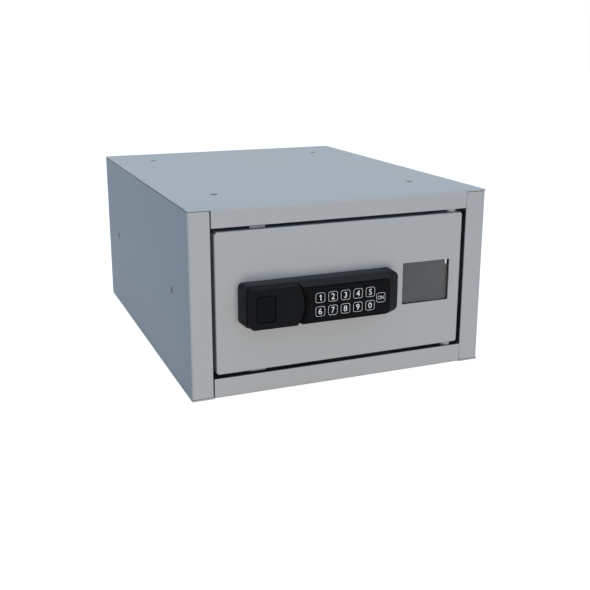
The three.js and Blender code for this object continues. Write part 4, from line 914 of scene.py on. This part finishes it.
def seen_directly(tree):
    """1 for rays that show the backdrop itself, from the camera, in a mirror or through glass."""
    rays = put(tree, "ShaderNodeLightPath").outputs
    seen = maths(tree, rays["Is Camera Ray"], rays["Is Glossy Ray"], "MAXIMUM")
    return maths(tree, seen, rays["Is Transmission Ray"], "MAXIMUM")


def make_sky():
    world = bpy.data.worlds.new("plain_sky")
    world.use_nodes = True
    tree = world.node_tree
    fill = tree.nodes["Background"]
    fill.inputs["Color"].default_value = (*SKY, 1.0)
    white = put(tree, "ShaderNodeBackground", {"Color": (1.0, 1.0, 1.0, 1.0), "Strength": 1.0})
    ends = {0: seen_directly(tree), 1: fill.outputs[0], 2: white.outputs[0]}
    mix = put(tree, "ShaderNodeMixShader", ends)
    tree.links.new(mix.outputs[0], tree.nodes["World Output"].inputs["Surface"])
    bpy.context.scene.world = world


make_sky()
print("sky", SKY)

# %% Floor
FLOOR_PALE = (0.30, 0.33, 0.37)
FLOOR_GLOW = 0.9
FLOOR_HALF = 6.0
FLOOR_DROP = 0.2 * MM


def make_floor():
    finish = bpy.data.materials.new("pale_floor")
    finish.use_nodes = True
    tree = finish.node_tree
    tree.nodes.remove(tree.nodes["Principled BSDF"])
    pale = put(tree, "ShaderNodeBsdfDiffuse", {"Color": (*FLOOR_PALE, 1.0)})
    strength = maths(tree, seen_directly(tree), FLOOR_GLOW, "MULTIPLY")
    glow = put(tree, "ShaderNodeEmission", {"Strength": strength})
    both = put(tree, "ShaderNodeAddShader", {0: pale.outputs[0], 1: glow.outputs[0]})
    tree.links.new(both.outputs[0], tree.nodes["Material Output"].inputs["Surface"])
    mesh = bpy.data.meshes.new("floor")
    signs = ((-1, -1), (1, -1), (1, 1), (-1, 1))
    corners = [(x * FLOOR_HALF, y * FLOOR_HALF, -FLOOR_DROP) for x, y in signs]
    mesh.from_pydata(corners, [], [(0, 1, 2, 3)])
    mesh.materials.append(finish)
    floor = bpy.data.objects.new("floor", mesh)
    floor.visible_shadow = False
    bpy.context.scene.collection.objects.link(floor)


make_floor()
print("floor", 2 * FLOOR_HALF, "m square")

# %% Lamps
LAMPS = {
    "overhead": {
        "place": (0.0, -0.08, 1.10),
        "aim": (0.0, -0.08, 0.18),
        "size": (0.9, 0.8),
        "colour": (0.98, 1.0, 0.94),
        "watts": 4.7,
    },
    "front_low": {
        "place": (-0.10, -1.35, -0.06),
        "aim": (0.0, -0.19, 0.09),
        "size": (0.7, 0.6),
        "colour": (1.0, 0.87, 0.715),
        "watts": 10.5,
    },
}


def make_lamp(name, place, aim, size, colour, watts):
    light = bpy.data.lights.new(name, "AREA")
    light.shape = "RECTANGLE"
    light.size, light.size_y = size
    light.energy = watts
    light.color = colour
    lamp = bpy.data.objects.new(name, light)
    lamp.location = place
    lamp.visible_glossy = False
    lamp.rotation_euler = (Vector(aim) - Vector(place)).to_track_quat("-Z", "Y").to_euler()
    bpy.context.scene.collection.objects.link(lamp)


for name, values in LAMPS.items():
    make_lamp(name, **values)
bpy.context.scene.view_settings.view_transform = "Standard"
print("lamps", {name: values["watts"] for name, values in LAMPS.items()})
